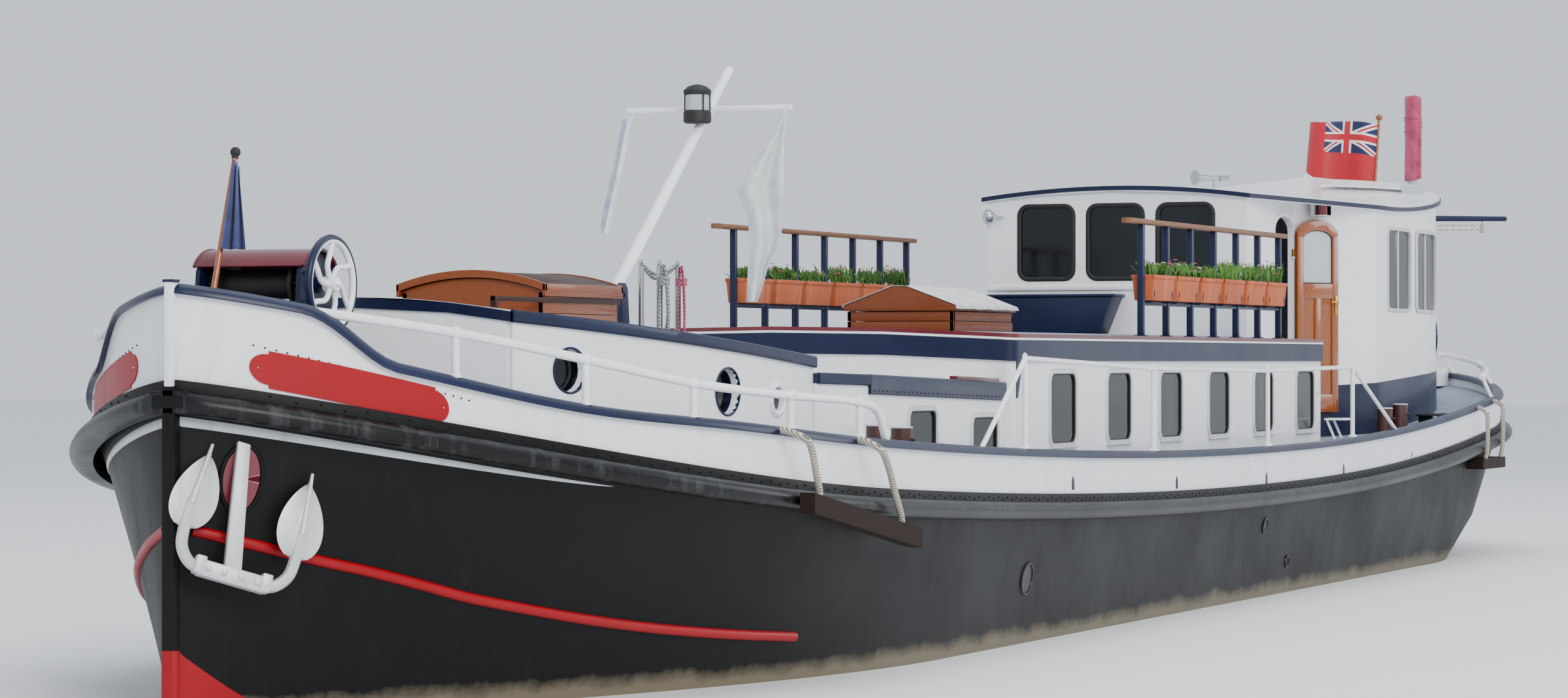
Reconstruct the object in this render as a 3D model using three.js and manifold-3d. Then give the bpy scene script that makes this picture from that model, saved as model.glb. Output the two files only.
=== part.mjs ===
// A Dutch canal barge: a steel hull with sheer, a fore trunk, a low trunk, a saloon and a wheelhouse.
// Millimetres, +Z up, +X to the bow, +Y to port. The origin is amidships on the waterline.
import * as THREE from "three";
import { mergeVertices } from "three/addons/utils/BufferGeometryUtils.js";
import Module from "manifold-3d";

const wasm = await Module();
wasm.setup();

// Driving dimensions. A station is a distance aft of the stem's face.
const BOW_X = 12500;
const GAP = 0.3;
const SEAT = 0.6;
const SINK = 30;
const STATIONS = 32;
const LOW_STATION = 13500;
const LOW_SHEER = 970;
const STRAKE_HEIGHT = 200;
const STRAKE_DEPTH = 110;
const RAIL_ABOVE_STRAKE = 320;
const DECK_ABOVE_STRAKE = 180;
const DECK_CAMBER = 0.03;
const BULWARK_THICK = 45;
const CAP_WIDTH = 110;
const CAP_HEIGHT = 60;
const WALL = 50;
const ROOF_THICK = 60;
const TUBE = 22;
const WINDOW_ROUND = 90;

const FORE = { from: 2000, to: 5200, inset: 650, topFrom: 2290, topFall: 0.084, camber: 90 };
const SALOON = { from: 8500, to: 17000, half: 1900, top: 2190, camber: 60 };
const LOW_PLAN = { from: FORE.to + 4 * GAP, to: SALOON.from - GAP, half: 1830, fore: 1700, splay: 5800 };
const LOW = { ...LOW_PLAN, topFrom: 1915, topFall: 0.025, camber: 60 };
const SALOON_WINDOW = { first: 9620, pitch: 1366, count: 6, width: 620, height: 550, z: 1645 };
const HOUSE = { from: 16750, fore: 1270, step: 18250, wide: 1830, wideFrom: 19330, to: 23600 };
const HATCH = { from: 3600, to: 4700, half: 500, wall: 35, top: 2440, thick: 45, camber: 90 };
const MAST = { station: 5700, hinge: 2450, rake: 50, length: 2600, foot: 46, tip: 30, pin: 12 };
const YARD = { along: 2120, half: 645, radius: 22 };
const LANTERN = { station: 7120, low: 3700, high: 3970, radius: 100 };
const SKYLIGHT = { from: 10900, to: 12300, low: -350, high: 550, top: 2400, wall: 30, ridge: 2600 };
const SUN_RAIL = { from: 11500, to: 16150, y: 1790, top: 3150, bar: 2470 };
const SUN_POSTS = { count: 7, first: 11910, pitch: 676 };
const TROUGH = { half: 292, near: -98, far: 86, height: 230 };
const GUARD = { from: 6700, to: 18200, posts: [7600, 10600, 13800, 16600], above: 630 };
const FLUE = { station: 22550, y: 1400, radius: 82, sunk: 160, pad: 105, padTop: 3860, top: 4772.2 };
const DOOR = { width: 600, height: 1850, sill: 1510, thick: 45, open: 154, station: 17910, pivotY: 1305 };
const PROPELLER = { station: 21750, z: -720, radius: 340, blades: 4, hub: 60, shaft: 24 };
const SOLE = { from: 20560, to: 22650, low: -1150, high: -1090, half: 40 };
const RUDDER = { station: 22500, from: 22350, to: 23250, top: -300, bottom: -1070, thick: 60 };
const RUDDER_STOCK = { radius: 35, top: -120, pintle: 18 };
const WINDLASS = { station: 1000, half: 345, axis: 2440, cover: 240, wheelY: 430, wheel: 285, shaft: 23 };
const BOOM = { station: 23800, z: 3560, reachAft: 1100, reachOut: 1850, pin: 18 };
const STERN_FENDER = { from: 21200, to: 22200, low: 905, high: 1015, inboard: 2285, thick: 175 };
const STERN_ROPES = [21350, 22050];
const MID_FENDER = { fore: [3400, 1140], aft: [4900, 870], depth: 100, height: 125 };
const MID_ROPES = [[3380, 3560], [4350, 4700]];
const POST = { half: 42, out: 70, top: 2450 };
const ROPE_RADIUS = 22;

// Horizontal outlines of the hull, from the keel up to the deck. The bow and stern lengths say
// over how many millimetres each end closes in, and the powers how full it is.
const OUTLINES = {
  keel: { z: -1150, half: 1600, start: 520, end: 20300, bow: [5200, 1.7, 1], stern: [8000, 1.5, 1] },
  bilge: { z: -1020, half: 1980, start: 260, end: 20800, bow: [5500, 1.7, 1], stern: [7600, 1.6, 1] },
  turn: { z: -720, half: 2160, start: 70, end: 21300, bow: [5700, 1.8, 1], stern: [6900, 1.8, 1.1] },
  run: { z: -320, half: 2200, start: 0, end: 21700, bow: [5900, 1.8, 1], stern: [5200, 2, 1.5] },
  counter: { z: -150, half: 2205, start: 0, end: 22900, bow: [5950, 1.8, 1], stern: [4600, 2, 1.8] },
  water: { z: 0, half: 2210, start: 0, end: 23500, bow: [6000, 1.8, 1], stern: [3500, 2, 2] },
  side: { z: 420, half: 2240, start: 0, end: 24200, bow: [5900, 2, 1.06], stern: [3000, 2, 2] },
  strake: { half: 2310, start: 0, end: 24800, bow: [5600, 2.45, 1.2], stern: [2850, 2, 2] },
  deck: { half: 2330, start: 0, end: 25000, bow: [5500, 2.6, 1.25], stern: [2850, 2, 2] },
};

// The well in the deck under the cabins, just inside their walls: stations and half breadths, bow
// to stern. The deck is in two, and they meet under the saloon's front.
const WELL_LOW = LOW_SHEER - SINK;
const WELL_HIGH = FORE.topFrom;
const FORE_WELL = 1600;
const SALOON_WELL = SALOON.half - WALL - 10;
const WELL = [
  [2150, 1000],
  [3500, 1400],
  [5100, FORE_WELL],
  [8560, FORE_WELL],
  [8760, SALOON_WELL],
  [SALOON.to + 2, SALOON_WELL],
  [SALOON.to + 12, 1200],
  [18250, 1230],
  [19330, 1740],
  [20900, 1770],
  [22000, 1620],
  [22700, 1350],
  [23200, 950],
];
const DECK_JOINT = SALOON.from + WALL / 2;

const FINISHES = {
  hullBlack: [0x23262a, 0.55, 0.3],
  white: [0xe9ebef, 0.4, 0.1],
  deckGrey: [0x8d99a8, 0.7, 0.1],
  navy: [0x14233f, 0.35, 0.1],
  silver: [0xd6d6d4, 0.45, 0.3],
  wood: [0x7a3e16, 0.35, 0],
  brown: [0x3b2320, 0.45, 0.2],
  bronze: [0xa8803c, 0.35, 0.9],
  rope: [0xb9b2a3, 0.95, 0],
};

const boat = new THREE.Group();

// Solids: conversion, joining and cutting.
function toSolid(geometry) {
  const bare = new THREE.BufferGeometry();
  bare.setAttribute("position", geometry.getAttribute("position"));
  if (geometry.index) bare.setIndex(geometry.index);
  const merged = mergeVertices(bare, 1e-3);
  const mesh = new wasm.Mesh({
    numProp: 3,
    vertProperties: new Float32Array(merged.attributes.position.array),
    triVerts: new Uint32Array(merged.index.array),
  });
  const solid = new wasm.Manifold(mesh);
  return solid.volume() < 0 ? flipped(merged) : solid;
}

function flipped(merged) {
  const turned = new Uint32Array(merged.index.array);
  for (let i = 0; i < turned.length; i += 3) {
    [turned[i + 1], turned[i + 2]] = [turned[i + 2], turned[i + 1]];
  }
  return new wasm.Manifold(
    new wasm.Mesh({
      numProp: 3,
      vertProperties: new Float32Array(merged.attributes.position.array),
      triVerts: turned,
    }),
  );
}

function toGeometry(solid) {
  const mesh = solid.getMesh();
  const positions = new Float32Array(mesh.numVert * 3);
  for (let i = 0; i < mesh.numVert; i++) {
    positions.set(mesh.vertProperties.subarray(i * mesh.numProp, i * mesh.numProp + 3), i * 3);
  }
  const geometry = new THREE.BufferGeometry();
  geometry.setAttribute("position", new THREE.BufferAttribute(positions, 3));
  geometry.setIndex(new THREE.BufferAttribute(new Uint32Array(mesh.triVerts), 1));
  geometry.computeVertexNormals();
  return geometry;
}

function join(...solids) {
  return solids.reduce((sum, next) => sum.add(next));
}

function cut(solid, ...tools) {
  return tools.reduce((rest, tool) => rest.subtract(tool), solid);
}

// A piece keeps the gap to its neighbour along the direction in which it leaves it.
function fit(solid, neighbour, dx, dy, dz) {
  return solid.subtract(neighbour.translate([dx * GAP, dy * GAP, dz * GAP]));
}

function piece(name, solid, finish) {
  const [color, roughness, metalness] = FINISHES[finish];
  const material = new THREE.MeshStandardMaterial({ color, roughness, metalness });
  const mesh = new THREE.Mesh(toGeometry(solid), material);
  mesh.name = name;
  boat.add(mesh);
  return solid;
}

const mirror = (solid) => solid.mirror([0, 1, 0]);
const at = (station, y, z) => new THREE.Vector3(BOW_X - station, y, z);

// Plain forms.
function box(fromStation, toStation, y0, y1, z0, z1) {
  const form = new THREE.BoxGeometry(toStation - fromStation, y1 - y0, z1 - z0);
  form.translate(BOW_X - (fromStation + toStation) / 2, (y0 + y1) / 2, (z0 + z1) / 2);
  return toSolid(form);
}

function rod(a, b, radius, sides = 8, radiusTop = radius) {
  const form = new THREE.CylinderGeometry(radiusTop, radius, a.distanceTo(b), sides);
  const along = b.clone().sub(a).normalize();
  form.applyQuaternion(new THREE.Quaternion().setFromUnitVectors(new THREE.Vector3(0, 1, 0), along));
  form.translate((a.x + b.x) / 2, (a.y + b.y) / 2, (a.z + b.z) / 2);
  return toSolid(form);
}

// A hole for a round bar of the same number of sides, with a running clearance all the way round.
function boreFor(a, b, radius, sides = 24) {
  return rod(a, b, (radius + GAP) / Math.cos(Math.PI / sides), sides);
}

function ball(centre, radius) {
  const form = new THREE.SphereGeometry(radius, 7, 5);
  form.translate(centre.x, centre.y, centre.z);
  return toSolid(form);
}

function bentTube(points, radius, steps, sides = 8) {
  const round = new THREE.Shape();
  round.absarc(0, 0, radius, 0, 2 * Math.PI, false);
  const extrudePath = new THREE.CatmullRomCurve3(points);
  const form = new THREE.ExtrudeGeometry(round, { extrudePath, steps, curveSegments: sides / 2 });
  return toSolid(form);
}

// A plate with rounded corners, lying across the y axis.
function roundedPlate(station, y, z, width, height, round, depth) {
  const w = width / 2 - round;
  const h = height / 2 - round;
  const outline = new THREE.Shape();
  outline.absarc(w, h, round, 0, Math.PI / 2, false);
  outline.absarc(-w, h, round, Math.PI / 2, Math.PI, false);
  outline.absarc(-w, -h, round, Math.PI, 1.5 * Math.PI, false);
  outline.absarc(w, -h, round, 1.5 * Math.PI, 2 * Math.PI, false);
  const form = new THREE.ExtrudeGeometry(outline, { depth, bevelEnabled: false, curveSegments: 2 });
  form.translate(0, 0, -depth / 2);
  form.rotateX(Math.PI / 2);
  form.translate(BOW_X - station, y, z);
  return toSolid(form);
}

function roundHole(station, y, z, radius, depth) {
  const form = new THREE.CylinderGeometry(radius, radius, depth, 20);
  form.translate(BOW_X - station, y, z);
  return toSolid(form);
}

// The triangles of one upright section, turned so that they wind as its points do.
function flatFaces(section) {
  const from = section[0];
  const level = (p) => Math.hypot(p.x - from.x, p.y - from.y);
  const far = section.reduce((best, p) => (level(p) > level(best) ? p : best));
  const across = new THREE.Vector2(far.x - from.x, far.y - from.y).normalize();
  const flat = section.map(
    (p) => new THREE.Vector2((p.x - from.x) * across.x + (p.y - from.y) * across.y, p.z),
  );
  const faces = THREE.ShapeUtils.triangulateShape(flat, []);
  const turned = THREE.ShapeUtils.isClockWise(flat);
  return turned ? faces.map(([a, b, c]) => [a, c, b]) : faces;
}

// A skin over sections with equal numbers of points: a closed ring, or a run with both ends capped.
function skin(sections, closed) {
  const count = sections[0].length;
  const positions = sections.flat().flatMap((p) => [p.x, p.y, p.z]);
  const faces = [];
  const runs = closed ? sections.length : sections.length - 1;
  for (let i = 0; i < runs; i++) {
    const here = i * count;
    const next = ((i + 1) % sections.length) * count;
    for (let j = 0; j < count; j++) {
      const k = (j + 1) % count;
      faces.push(here + j, here + k, next + k, here + j, next + k, next + j);
    }
  }
  if (!closed) {
    const last = (sections.length - 1) * count;
    for (const [a, b, c] of flatFaces(sections[0])) {
      faces.push(a, c, b, last + a, last + b, last + c);
    }
  }
  const form = new THREE.BufferGeometry();
  form.setAttribute("position", new THREE.BufferAttribute(new Float32Array(positions), 3));
  form.setIndex(faces);
  return toSolid(form);
}

// Sheer lines, each a height over the water at a station.
function strakeTop(s) {
  const fore = Math.max(0, (LOW_STATION - s) / 1000);
  const aft = Math.max(0, (s - LOW_STATION) / 1000);
  const bow = Math.max(0, 1 - s / 5000);
  return LOW_SHEER + 2.9 * fore ** 2 + 1.9 * aft ** 2.4 + 400 * bow ** 2.3;
}

function railTop(s) {
  const high = THREE.MathUtils.smoothstep(800 - s, 0, 400);
  const dip = Math.exp(-(((s - 1700) / 1000) ** 2));
  return strakeTop(s) + RAIL_ABOVE_STRAKE + 220 * high - 70 * dip;
}

const deckEdge = (s) => strakeTop(s) + DECK_ABOVE_STRAKE;

// Half of the boat's breadth at a station, on one outline.
function halfBreadth(outline, s, least = 20) {
  const [bowLength, bowPower, bowRoot] = outline.bow;
  const [sternLength, sternPower, sternRoot] = outline.stern;
  const toBow = Math.min(1, Math.max(0, 1 - (s - outline.start) / bowLength));
  const toStern = Math.min(1, Math.max(0, 1 - (outline.end - s) / sternLength));
  const fore = (1 - toBow ** bowPower) ** (1 / bowRoot);
  const aft = (1 - toStern ** sternPower) ** (1 / sternRoot);
  return Math.max(least, outline.half * fore * aft);
}

function stationOf(outline, i) {
  const t = i / STATIONS;
  const eased = t - (0.8 * Math.sin(2 * Math.PI * t)) / (2 * Math.PI);
  return outline.start + (outline.end - outline.start) * eased;
}

function insetOutline(outline, by) {
  return {
    ...outline,
    half: outline.half - by,
    start: outline.start + by * 1.4,
    end: outline.end - by,
  };
}

// The points of one outline, bow to stern, on the port side. Heights are taken at the stations
// of the outline that the points belong to, so that insets of it stay level with it.
function outlinePoints(outline, height, least = 20, belongs = outline) {
  return Array.from({ length: STATIONS + 1 }, (_, i) => {
    const s = stationOf(outline, i);
    return at(s, halfBreadth(outline, s, least), height(stationOf(belongs, i)));
  });
}

// A solid between stacked outlines. Its top is cambered, and its bottom is flat across.
function stackedSolid(levels, camber) {
  const positions = [];
  const faces = [];
  const n = STATIONS + 1;
  const put = (p) => positions.push(p.x, p.y, p.z);
  const port = (k, i) => 2 * n * k + i;
  const starboard = (k, i) => 2 * n * k + n + i;
  for (const points of levels) {
    points.forEach(put);
    points.forEach((p) => put(new THREE.Vector3(p.x, -p.y, p.z)));
  }
  const top = levels.length - 1;
  const crown = 2 * n * levels.length;
  levels[top].forEach((p) => put(new THREE.Vector3(p.x, 0, p.z + camber * p.y)));
  const quad = (a, b, c, d) => faces.push(a, b, c, a, c, d);
  for (let k = 0; k < top; k++) {
    for (let i = 0; i < STATIONS; i++) {
      quad(port(k, i), port(k, i + 1), port(k + 1, i + 1), port(k + 1, i));
      quad(starboard(k, i + 1), starboard(k, i), starboard(k + 1, i), starboard(k + 1, i + 1));
    }
    quad(starboard(k, 0), port(k, 0), port(k + 1, 0), starboard(k + 1, 0));
    quad(port(k, n - 1), starboard(k, n - 1), starboard(k + 1, n - 1), port(k + 1, n - 1));
  }
  for (let i = 0; i < STATIONS; i++) {
    quad(starboard(0, i), starboard(0, i + 1), port(0, i + 1), port(0, i));
    quad(port(top, i), port(top, i + 1), crown + i + 1, crown + i);
    quad(crown + i, crown + i + 1, starboard(top, i + 1), starboard(top, i));
  }
  faces.push(starboard(top, 0), port(top, 0), crown);
  faces.push(port(top, n - 1), starboard(top, n - 1), crown + n - 1);
  const form = new THREE.BufferGeometry();
  form.setAttribute("position", new THREE.BufferAttribute(new Float32Array(positions), 3));
  form.setIndex(faces);
  return toSolid(form);
}

// A ring that follows the hull all the way round. Each corner of its section has an inset from
// an outline, the deck's if none is given, and a height that depends on the station.
function hullRing(corners) {
  const runs = corners.map(([inset, height, base = OUTLINES.deck]) => {
    const outline = insetOutline(base, inset);
    return outlinePoints(outline, height, 20 - inset / 5, base);
  });
  const port = Array.from({ length: STATIONS + 1 }, (_, i) => runs.map((run) => run[i]));
  const across = (section) => section.map((p) => new THREE.Vector3(p.x, -p.y, p.z));
  return skin([...port, ...port.map(across).reverse()], true);
}

// Hull, deck, bulwark, cap rail and rubbing strake.
function buildHull() {
  const fixed = ["keel", "bilge", "turn", "run", "counter", "water", "side"];
  const levels = fixed.map((name) => outlinePoints(OUTLINES[name], () => OUTLINES[name].z));
  levels.push(outlinePoints(OUTLINES.strake, (s) => strakeTop(s) - STRAKE_HEIGHT));
  levels.push(outlinePoints(OUTLINES.deck, (s) => strakeTop(s)));
  const trunk = rod(at(RUDDER.station, 0, -400), at(RUDDER.station, 0, -100), RUDDER_STOCK.radius + 7, 16);
  const hull = piece("hull_shell", cut(stackedSolid(levels, 0), trunk), "hullBlack");
  const deckLevels = [strakeTop, deckEdge].map((line, i) =>
    outlinePoints(OUTLINES.deck, (s) => line(s) + (i ? 0 : GAP)),
  );
  const well = skin(WELL.map(([s, half]) => [
    at(s, half, WELL_LOW), at(s, half, WELL_HIGH), at(s, -half, WELL_HIGH), at(s, -half, WELL_LOW),
  ]), false);
  const deck = cut(stackedSolid(deckLevels, DECK_CAMBER), well);
  const ahead = box(-1000, DECK_JOINT, -3000, 3000, 0, WELL_HIGH);
  const abaft = box(DECK_JOINT + GAP, 30000, -3000, 3000, 0, WELL_HIGH);
  piece("deck_fore", deck.intersect(ahead), "deckGrey");
  piece("deck_after", deck.intersect(abaft), "deckGrey");
  return { hull, deck };
}

function buildBulwark(deck) {
  const lap = (CAP_WIDTH - BULWARK_THICK) / 2;
  const over = (rise) => (s) => railTop(s) - CAP_HEIGHT + rise;
  const cap = hullRing([
    [-lap, over(0)],
    [-lap, over(CAP_HEIGHT * 0.6)],
    [0, over(CAP_HEIGHT)],
    [BULWARK_THICK, over(CAP_HEIGHT)],
    [BULWARK_THICK + lap, over(CAP_HEIGHT * 0.6)],
    [BULWARK_THICK + lap, over(0)],
  ]);
  const foot = (s) => deckEdge(s) - SINK;
  const wall = hullRing([
    [0, foot],
    [0, over(SINK)],
    [BULWARK_THICK, over(SINK)],
    [BULWARK_THICK, foot],
  ]);
  const head = box(-POST.out - GAP, 0, -POST.half - GAP, POST.half + GAP, 0, POST.top + 100);
  const rail = piece("cap_rail", cut(cap, head), "navy");
  piece("bulwark", fit(fit(wall, deck, 0, 0, 1), rail, 0, 0, -1), "white");
  return rail;
}

function buildStrake() {
  const out = (depth) => -STRAKE_DEPTH * depth;
  const down = (part) => (s) => strakeTop(s) - STRAKE_HEIGHT * part;
  const ring = hullRing([
    [-SEAT, down(0)],
    [out(0.25), down(0)],
    [out(0.4), down(0.26)],
    [out(1), down(0.5)],
    [out(1), down(0.72)],
    [out(0.6), down(1)],
    [-SEAT, down(1), OUTLINES.strake],
  ]);
  const head = box(-STRAKE_DEPTH * 2, 0, -POST.half - GAP, POST.half + GAP, 0, POST.top);
  const nose = box(-STRAKE_DEPTH * 2, -POST.out, -500, 500, 0, POST.top);
  return piece("rubbing_strake", largest(cut(ring, head, nose)), "hullBlack");
}

// A wall along a plan path from bow to stern on the port side. Its points are stations and
// half-breadths. The wall grows inwards from the path by its thickness.
function pathWall(path, foot, head, thick = WALL) {
  const plan = path.map(([s, y]) => new THREE.Vector2(BOW_X - s, y));
  const sections = plan.map((p, i) => {
    const before = plan[Math.max(0, i - 1)];
    const after = plan[Math.min(plan.length - 1, i + 1)];
    const a = p.clone().sub(before).normalize();
    const b = after.clone().sub(p).normalize();
    const mean = a.add(b).normalize();
    const back = before.clone().sub(p).normalize();
    const onwards = p.clone().sub(after).normalize();
    const half = Math.sqrt((1 + back.dot(onwards)) / 2);
    const reach = thick / (i === 0 || i === plan.length - 1 ? 1 : half);
    const inner = new THREE.Vector2(p.x - mean.y * reach, p.y + mean.x * reach);
    const s = BOW_X - p.x;
    return [
      new THREE.Vector3(p.x, p.y, foot(s)),
      new THREE.Vector3(p.x, p.y, head(s)),
      new THREE.Vector3(inner.x, inner.y, head(s)),
      new THREE.Vector3(inner.x, inner.y, foot(s)),
    ];
  });
  return skin(sections, false);
}

// A cambered roof plate over given stations, with its half breadth and edge height at each.
function roofPlate(stations, half, edge, camber, thick = ROOF_THICK) {
  const columns = [-1, -0.6, 0, 0.6, 1];
  const sections = stations.map((s) => {
    const row = (drop) =>
      columns.map((c) => at(s, c * half(s), edge(s) - drop + camber * (1 - c * c)));
    return [...row(0), ...row(thick).reverse()];
  });
  return skin(sections, false);
}

// Roofs stand a little proud of the walls under them.
const EAVES = 15;
const overhang = (stations) => [stations[0] - EAVES, ...stations.slice(1, -1), stations.at(-1) + EAVES];
const steps = (from, to, count) =>
  Array.from({ length: count + 1 }, (_, i) => from + ((to - from) * i) / count);

// Each side of a pair: the port piece and its mirror, both trimmed by what they meet.
function pair(name, solid, finish, trim = (side) => side) {
  const port = piece(name + "_port", largest(trim(solid)), finish);
  const starboard = piece(name + "_starboard", largest(trim(mirror(solid))), finish);
  return { port, starboard };
}

// A wall stands on its floor and ends under its roof.
const stand = (wall, floor, roof) => largest(fit(fit(wall, floor, 0, 0, 1), roof, 0, 0, -1));

const foreHalf = (s) => halfBreadth(OUTLINES.deck, s) - FORE.inset;
const foreTop = (s) => FORE.topFrom - (s - FORE.from) * FORE.topFall;
const lowTop = (s) => LOW.topFrom - (s - LOW.from) * LOW.topFall;
const footOn = (s) => deckEdge(s) - SINK;
const PORTHOLES = [
  { station: 2420, z: 1945, radius: 130 },
  { station: 3960, z: 1810, radius: 145 },
  { station: 4630, z: 1756, radius: 90 },
];

function buildForeTrunk(hull, deck) {
  const stations = steps(FORE.from, FORE.to, 8);
  const plate = roofPlate(overhang(stations), (s) => foreHalf(s) + EAVES, foreTop, FORE.camber);
  const { from, to, wall: rim, half: hatchHalf } = HATCH;
  const inside = hatchHalf - rim;
  const roof = cut(plate, box(from + rim, to - rim, -inside, inside, 0, HATCH.top));
  const path = stations.map((s) => [s, foreHalf(s)]);
  const holes = PORTHOLES.map((p) => roundHole(p.station, 0, p.z, p.radius, 5000));
  const wall = pathWall(path, footOn, foreTop);
  const sides = pair("fore_trunk_side", wall, "white", (s) => cut(stand(s, deck, roof), ...holes));
  piece("fore_trunk_roof", roof, "navy");
  const ends = { front: [FORE.from, FORE.from + WALL], after: [FORE.to - WALL, FORE.to] };
  for (const [name, [near, far]] of Object.entries(ends)) {
    const half = foreHalf(near) - WALL * 0.75;
    const across = box(near, far, -half, half, footOn(far), foreTop(near) + FORE.camber);
    const foot = name === "after" ? [hull, near, far, FORE_WELL] : [];
    piece("fore_trunk_" + name, between(across, sides, deck, roof, ...foot), "white");
  }
  return roof;
}

// A plate across the boat, trimmed by the side walls, the deck under it and the roof over it.
// Over the well in the deck it reaches down to the hull.
function between(plate, { port, starboard }, floor, roof, hull, near, far, well) {
  const inboard = fit(fit(plate, port, 0, -1, 0), starboard, 0, 1, 0);
  const below = fit(fit(inboard, port, 0, -1, 1), starboard, 0, 1, 1);
  const across = stand(fit(fit(below, floor, 0, -1, 0), floor, 0, 1, 0), floor, roof);
  if (!hull) return across;
  const half = well - GAP;
  return join(across, onFloor(box(near, far, -half, half, WELL_LOW, deckEdge(far) + SINK), hull));
}

function largest(solid) {
  return solid.decompose().sort((a, b) => b.volume() - a.volume())[0];
}

function lowHalf(s) {
  const part = Math.min(1, (s - LOW.from) / (LOW.splay - LOW.from));
  return LOW.fore + (LOW.half - LOW.fore) * part;
}

function buildLowTrunk(deck) {
  const stations = [LOW.from, ...steps(LOW.splay, LOW.to, 3)];
  const roof = roofPlate(stations, (s) => lowHalf(s) + EAVES, lowTop, LOW.camber);
  const path = stations.map((s) => [s, lowHalf(s)]);
  const { length, height, round, places } = LOW_WINDOWS;
  const windows = places.map(({ s, z }) => roundedPlate(s, 0, z, length, height, round, 5000));
  const wall = pathWall(path, footOn, lowTop);
  pair("low_trunk_side", wall, "white", (side) => cut(stand(side, deck, roof), ...windows));
  piece("low_trunk_roof", roof, "navy");
  return roof;
}

const LOW_WINDOWS = {
  length: 550,
  height: 300,
  round: 70,
  places: [
    { s: 6820, z: 1520 },
    { s: 8080, z: 1460 },
  ],
};
const SALOON_ROUND = 60;
function saloonHalf(s) {
  const into = Math.max(0, SALOON.from + SALOON_ROUND - s);
  return SALOON.half - SALOON_ROUND + Math.sqrt(Math.max(0, SALOON_ROUND ** 2 - into ** 2));
}

function buildSaloon(hull, deck) {
  const top = () => SALOON.top;
  const corner = [0, 0.12, 0.35, 0.65, 1].map((t) => SALOON.from + SALOON_ROUND * t);
  const stations = [...corner, ...steps(SALOON.from + SALOON_ROUND, SALOON.to, 6).slice(1)];
  const plate = roofPlate(overhang(stations), (s) => saloonHalf(s) + EAVES, top, SALOON.camber);
  const { from: fore, to: aft, low, high, wall: rim } = SKYLIGHT;
  const roof = cut(plate, box(fore + rim, aft - rim, low + rim, high - rim, 0, SKYLIGHT.top));
  const path = stations.map((s) => [s, saloonHalf(s)]);
  const windows = Array.from({ length: SALOON_WINDOW.count }, (_, i) => {
    const { first, pitch, z, width, height } = SALOON_WINDOW;
    return roundedPlate(first + i * pitch, 0, z, width, height, WINDOW_ROUND, 5000);
  });
  const wall = pathWall(path, footOn, top);
  const sides = pair("saloon_side", wall, "white", (s) => cut(stand(s, deck, roof), ...windows));
  piece("saloon_roof", roof, "deckGrey");
  const ends = { front: [SALOON.from, SALOON.from + WALL], after: [SALOON.to - WALL, SALOON.to] };
  for (const [name, [from, to]] of Object.entries(ends)) {
    const half = saloonHalf(from) - (name === "front" ? GAP : WALL * 0.75);
    const across = box(from, to, -half, half, deckEdge(SALOON.to) - 2 * SINK, SALOON.top + SALOON.camber);
    const well = name === "front" ? FORE_WELL : SALOON_WELL;
    piece("saloon_" + name, between(across, sides, deck, roof, hull, from, to, well), "white");
  }
  return roof;
}

// Wheelhouse: a fore part on the sun deck, splayed sides and a round after end on the deck.
const houseTop = (s) => 3560 - Math.max(0, s - HOUSE.from) * 0.011 + 2.4e-5 * Math.max(0, s - 19300) ** 2;
const HOUSE_CAMBER = 90;
const HOUSE_TURN = 20900;
function houseHalf(s) {
  if (s <= HOUSE.step) return HOUSE.fore + ((s - HOUSE.from) / (HOUSE.step - HOUSE.from)) * 30;
  if (s <= HOUSE.wideFrom) {
    return 1300 + ((s - HOUSE.step) / (HOUSE.wideFrom - HOUSE.step)) * (HOUSE.wide - 1300);
  }
  const into = Math.max(0, (s - HOUSE_TURN) / (HOUSE.to - HOUSE_TURN));
  return Math.max(60, (HOUSE.wide + 10) * Math.sqrt(Math.max(0, 1 - into ** 3)));
}

function roofHalf(s) {
  if (s <= HOUSE.wideFrom) {
    return HOUSE.fore + 40 + ((s - HOUSE.from) / (HOUSE.wideFrom - HOUSE.from)) * 560;
  }
  return houseHalf(s - 10) + 40;
}

function doorShape(width, height, depth) {
  const rise = width * 0.22;
  const outline = new THREE.Shape();
  outline.moveTo(-width / 2, 0);
  outline.lineTo(width / 2, 0);
  outline.lineTo(width / 2, height - rise);
  outline.absellipse(0, height - rise, width / 2, rise, 0, Math.PI, false, 0);
  const form = new THREE.ExtrudeGeometry(outline, { depth, bevelEnabled: false, curveSegments: 4 });
  form.translate(0, 0, -depth / 2);
  form.rotateX(Math.PI / 2);
  return form;
}

// Each door hangs on pins that stand on brackets at its wall.
const DOOR_HINGE = HOUSE.step - 35;
const HINGES = [1750, 3000];
const HINGE_PIN = 8;
const hingePoint = (z) => at(DOOR_HINGE, DOOR.pivotY, z);
const hingeRod = (from, to, radius) => rod(hingePoint(from), hingePoint(to), radius, 10);

function hinged(wall) {
  const recesses = HINGES.map((z) => hingeRod(z, z + 38, 17));
  const brackets = HINGES.map((z) => {
    const arm = box(DOOR_HINGE, DOOR_HINGE + 35, DOOR.pivotY - 20, DOOR.pivotY + 12, z - 20, z);
    return join(arm, hingeRod(z - 20, z, 15), hingeRod(z - 10, z + 36, HINGE_PIN));
  });
  return join(cut(wall, ...recesses), ...brackets);
}

const HOUSE_WINDOWS = [20210, 21330];
const HOUSE_JOINT = 22000;
const FRONT_JOINT = SALOON.to + EAVES + 5;

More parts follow.
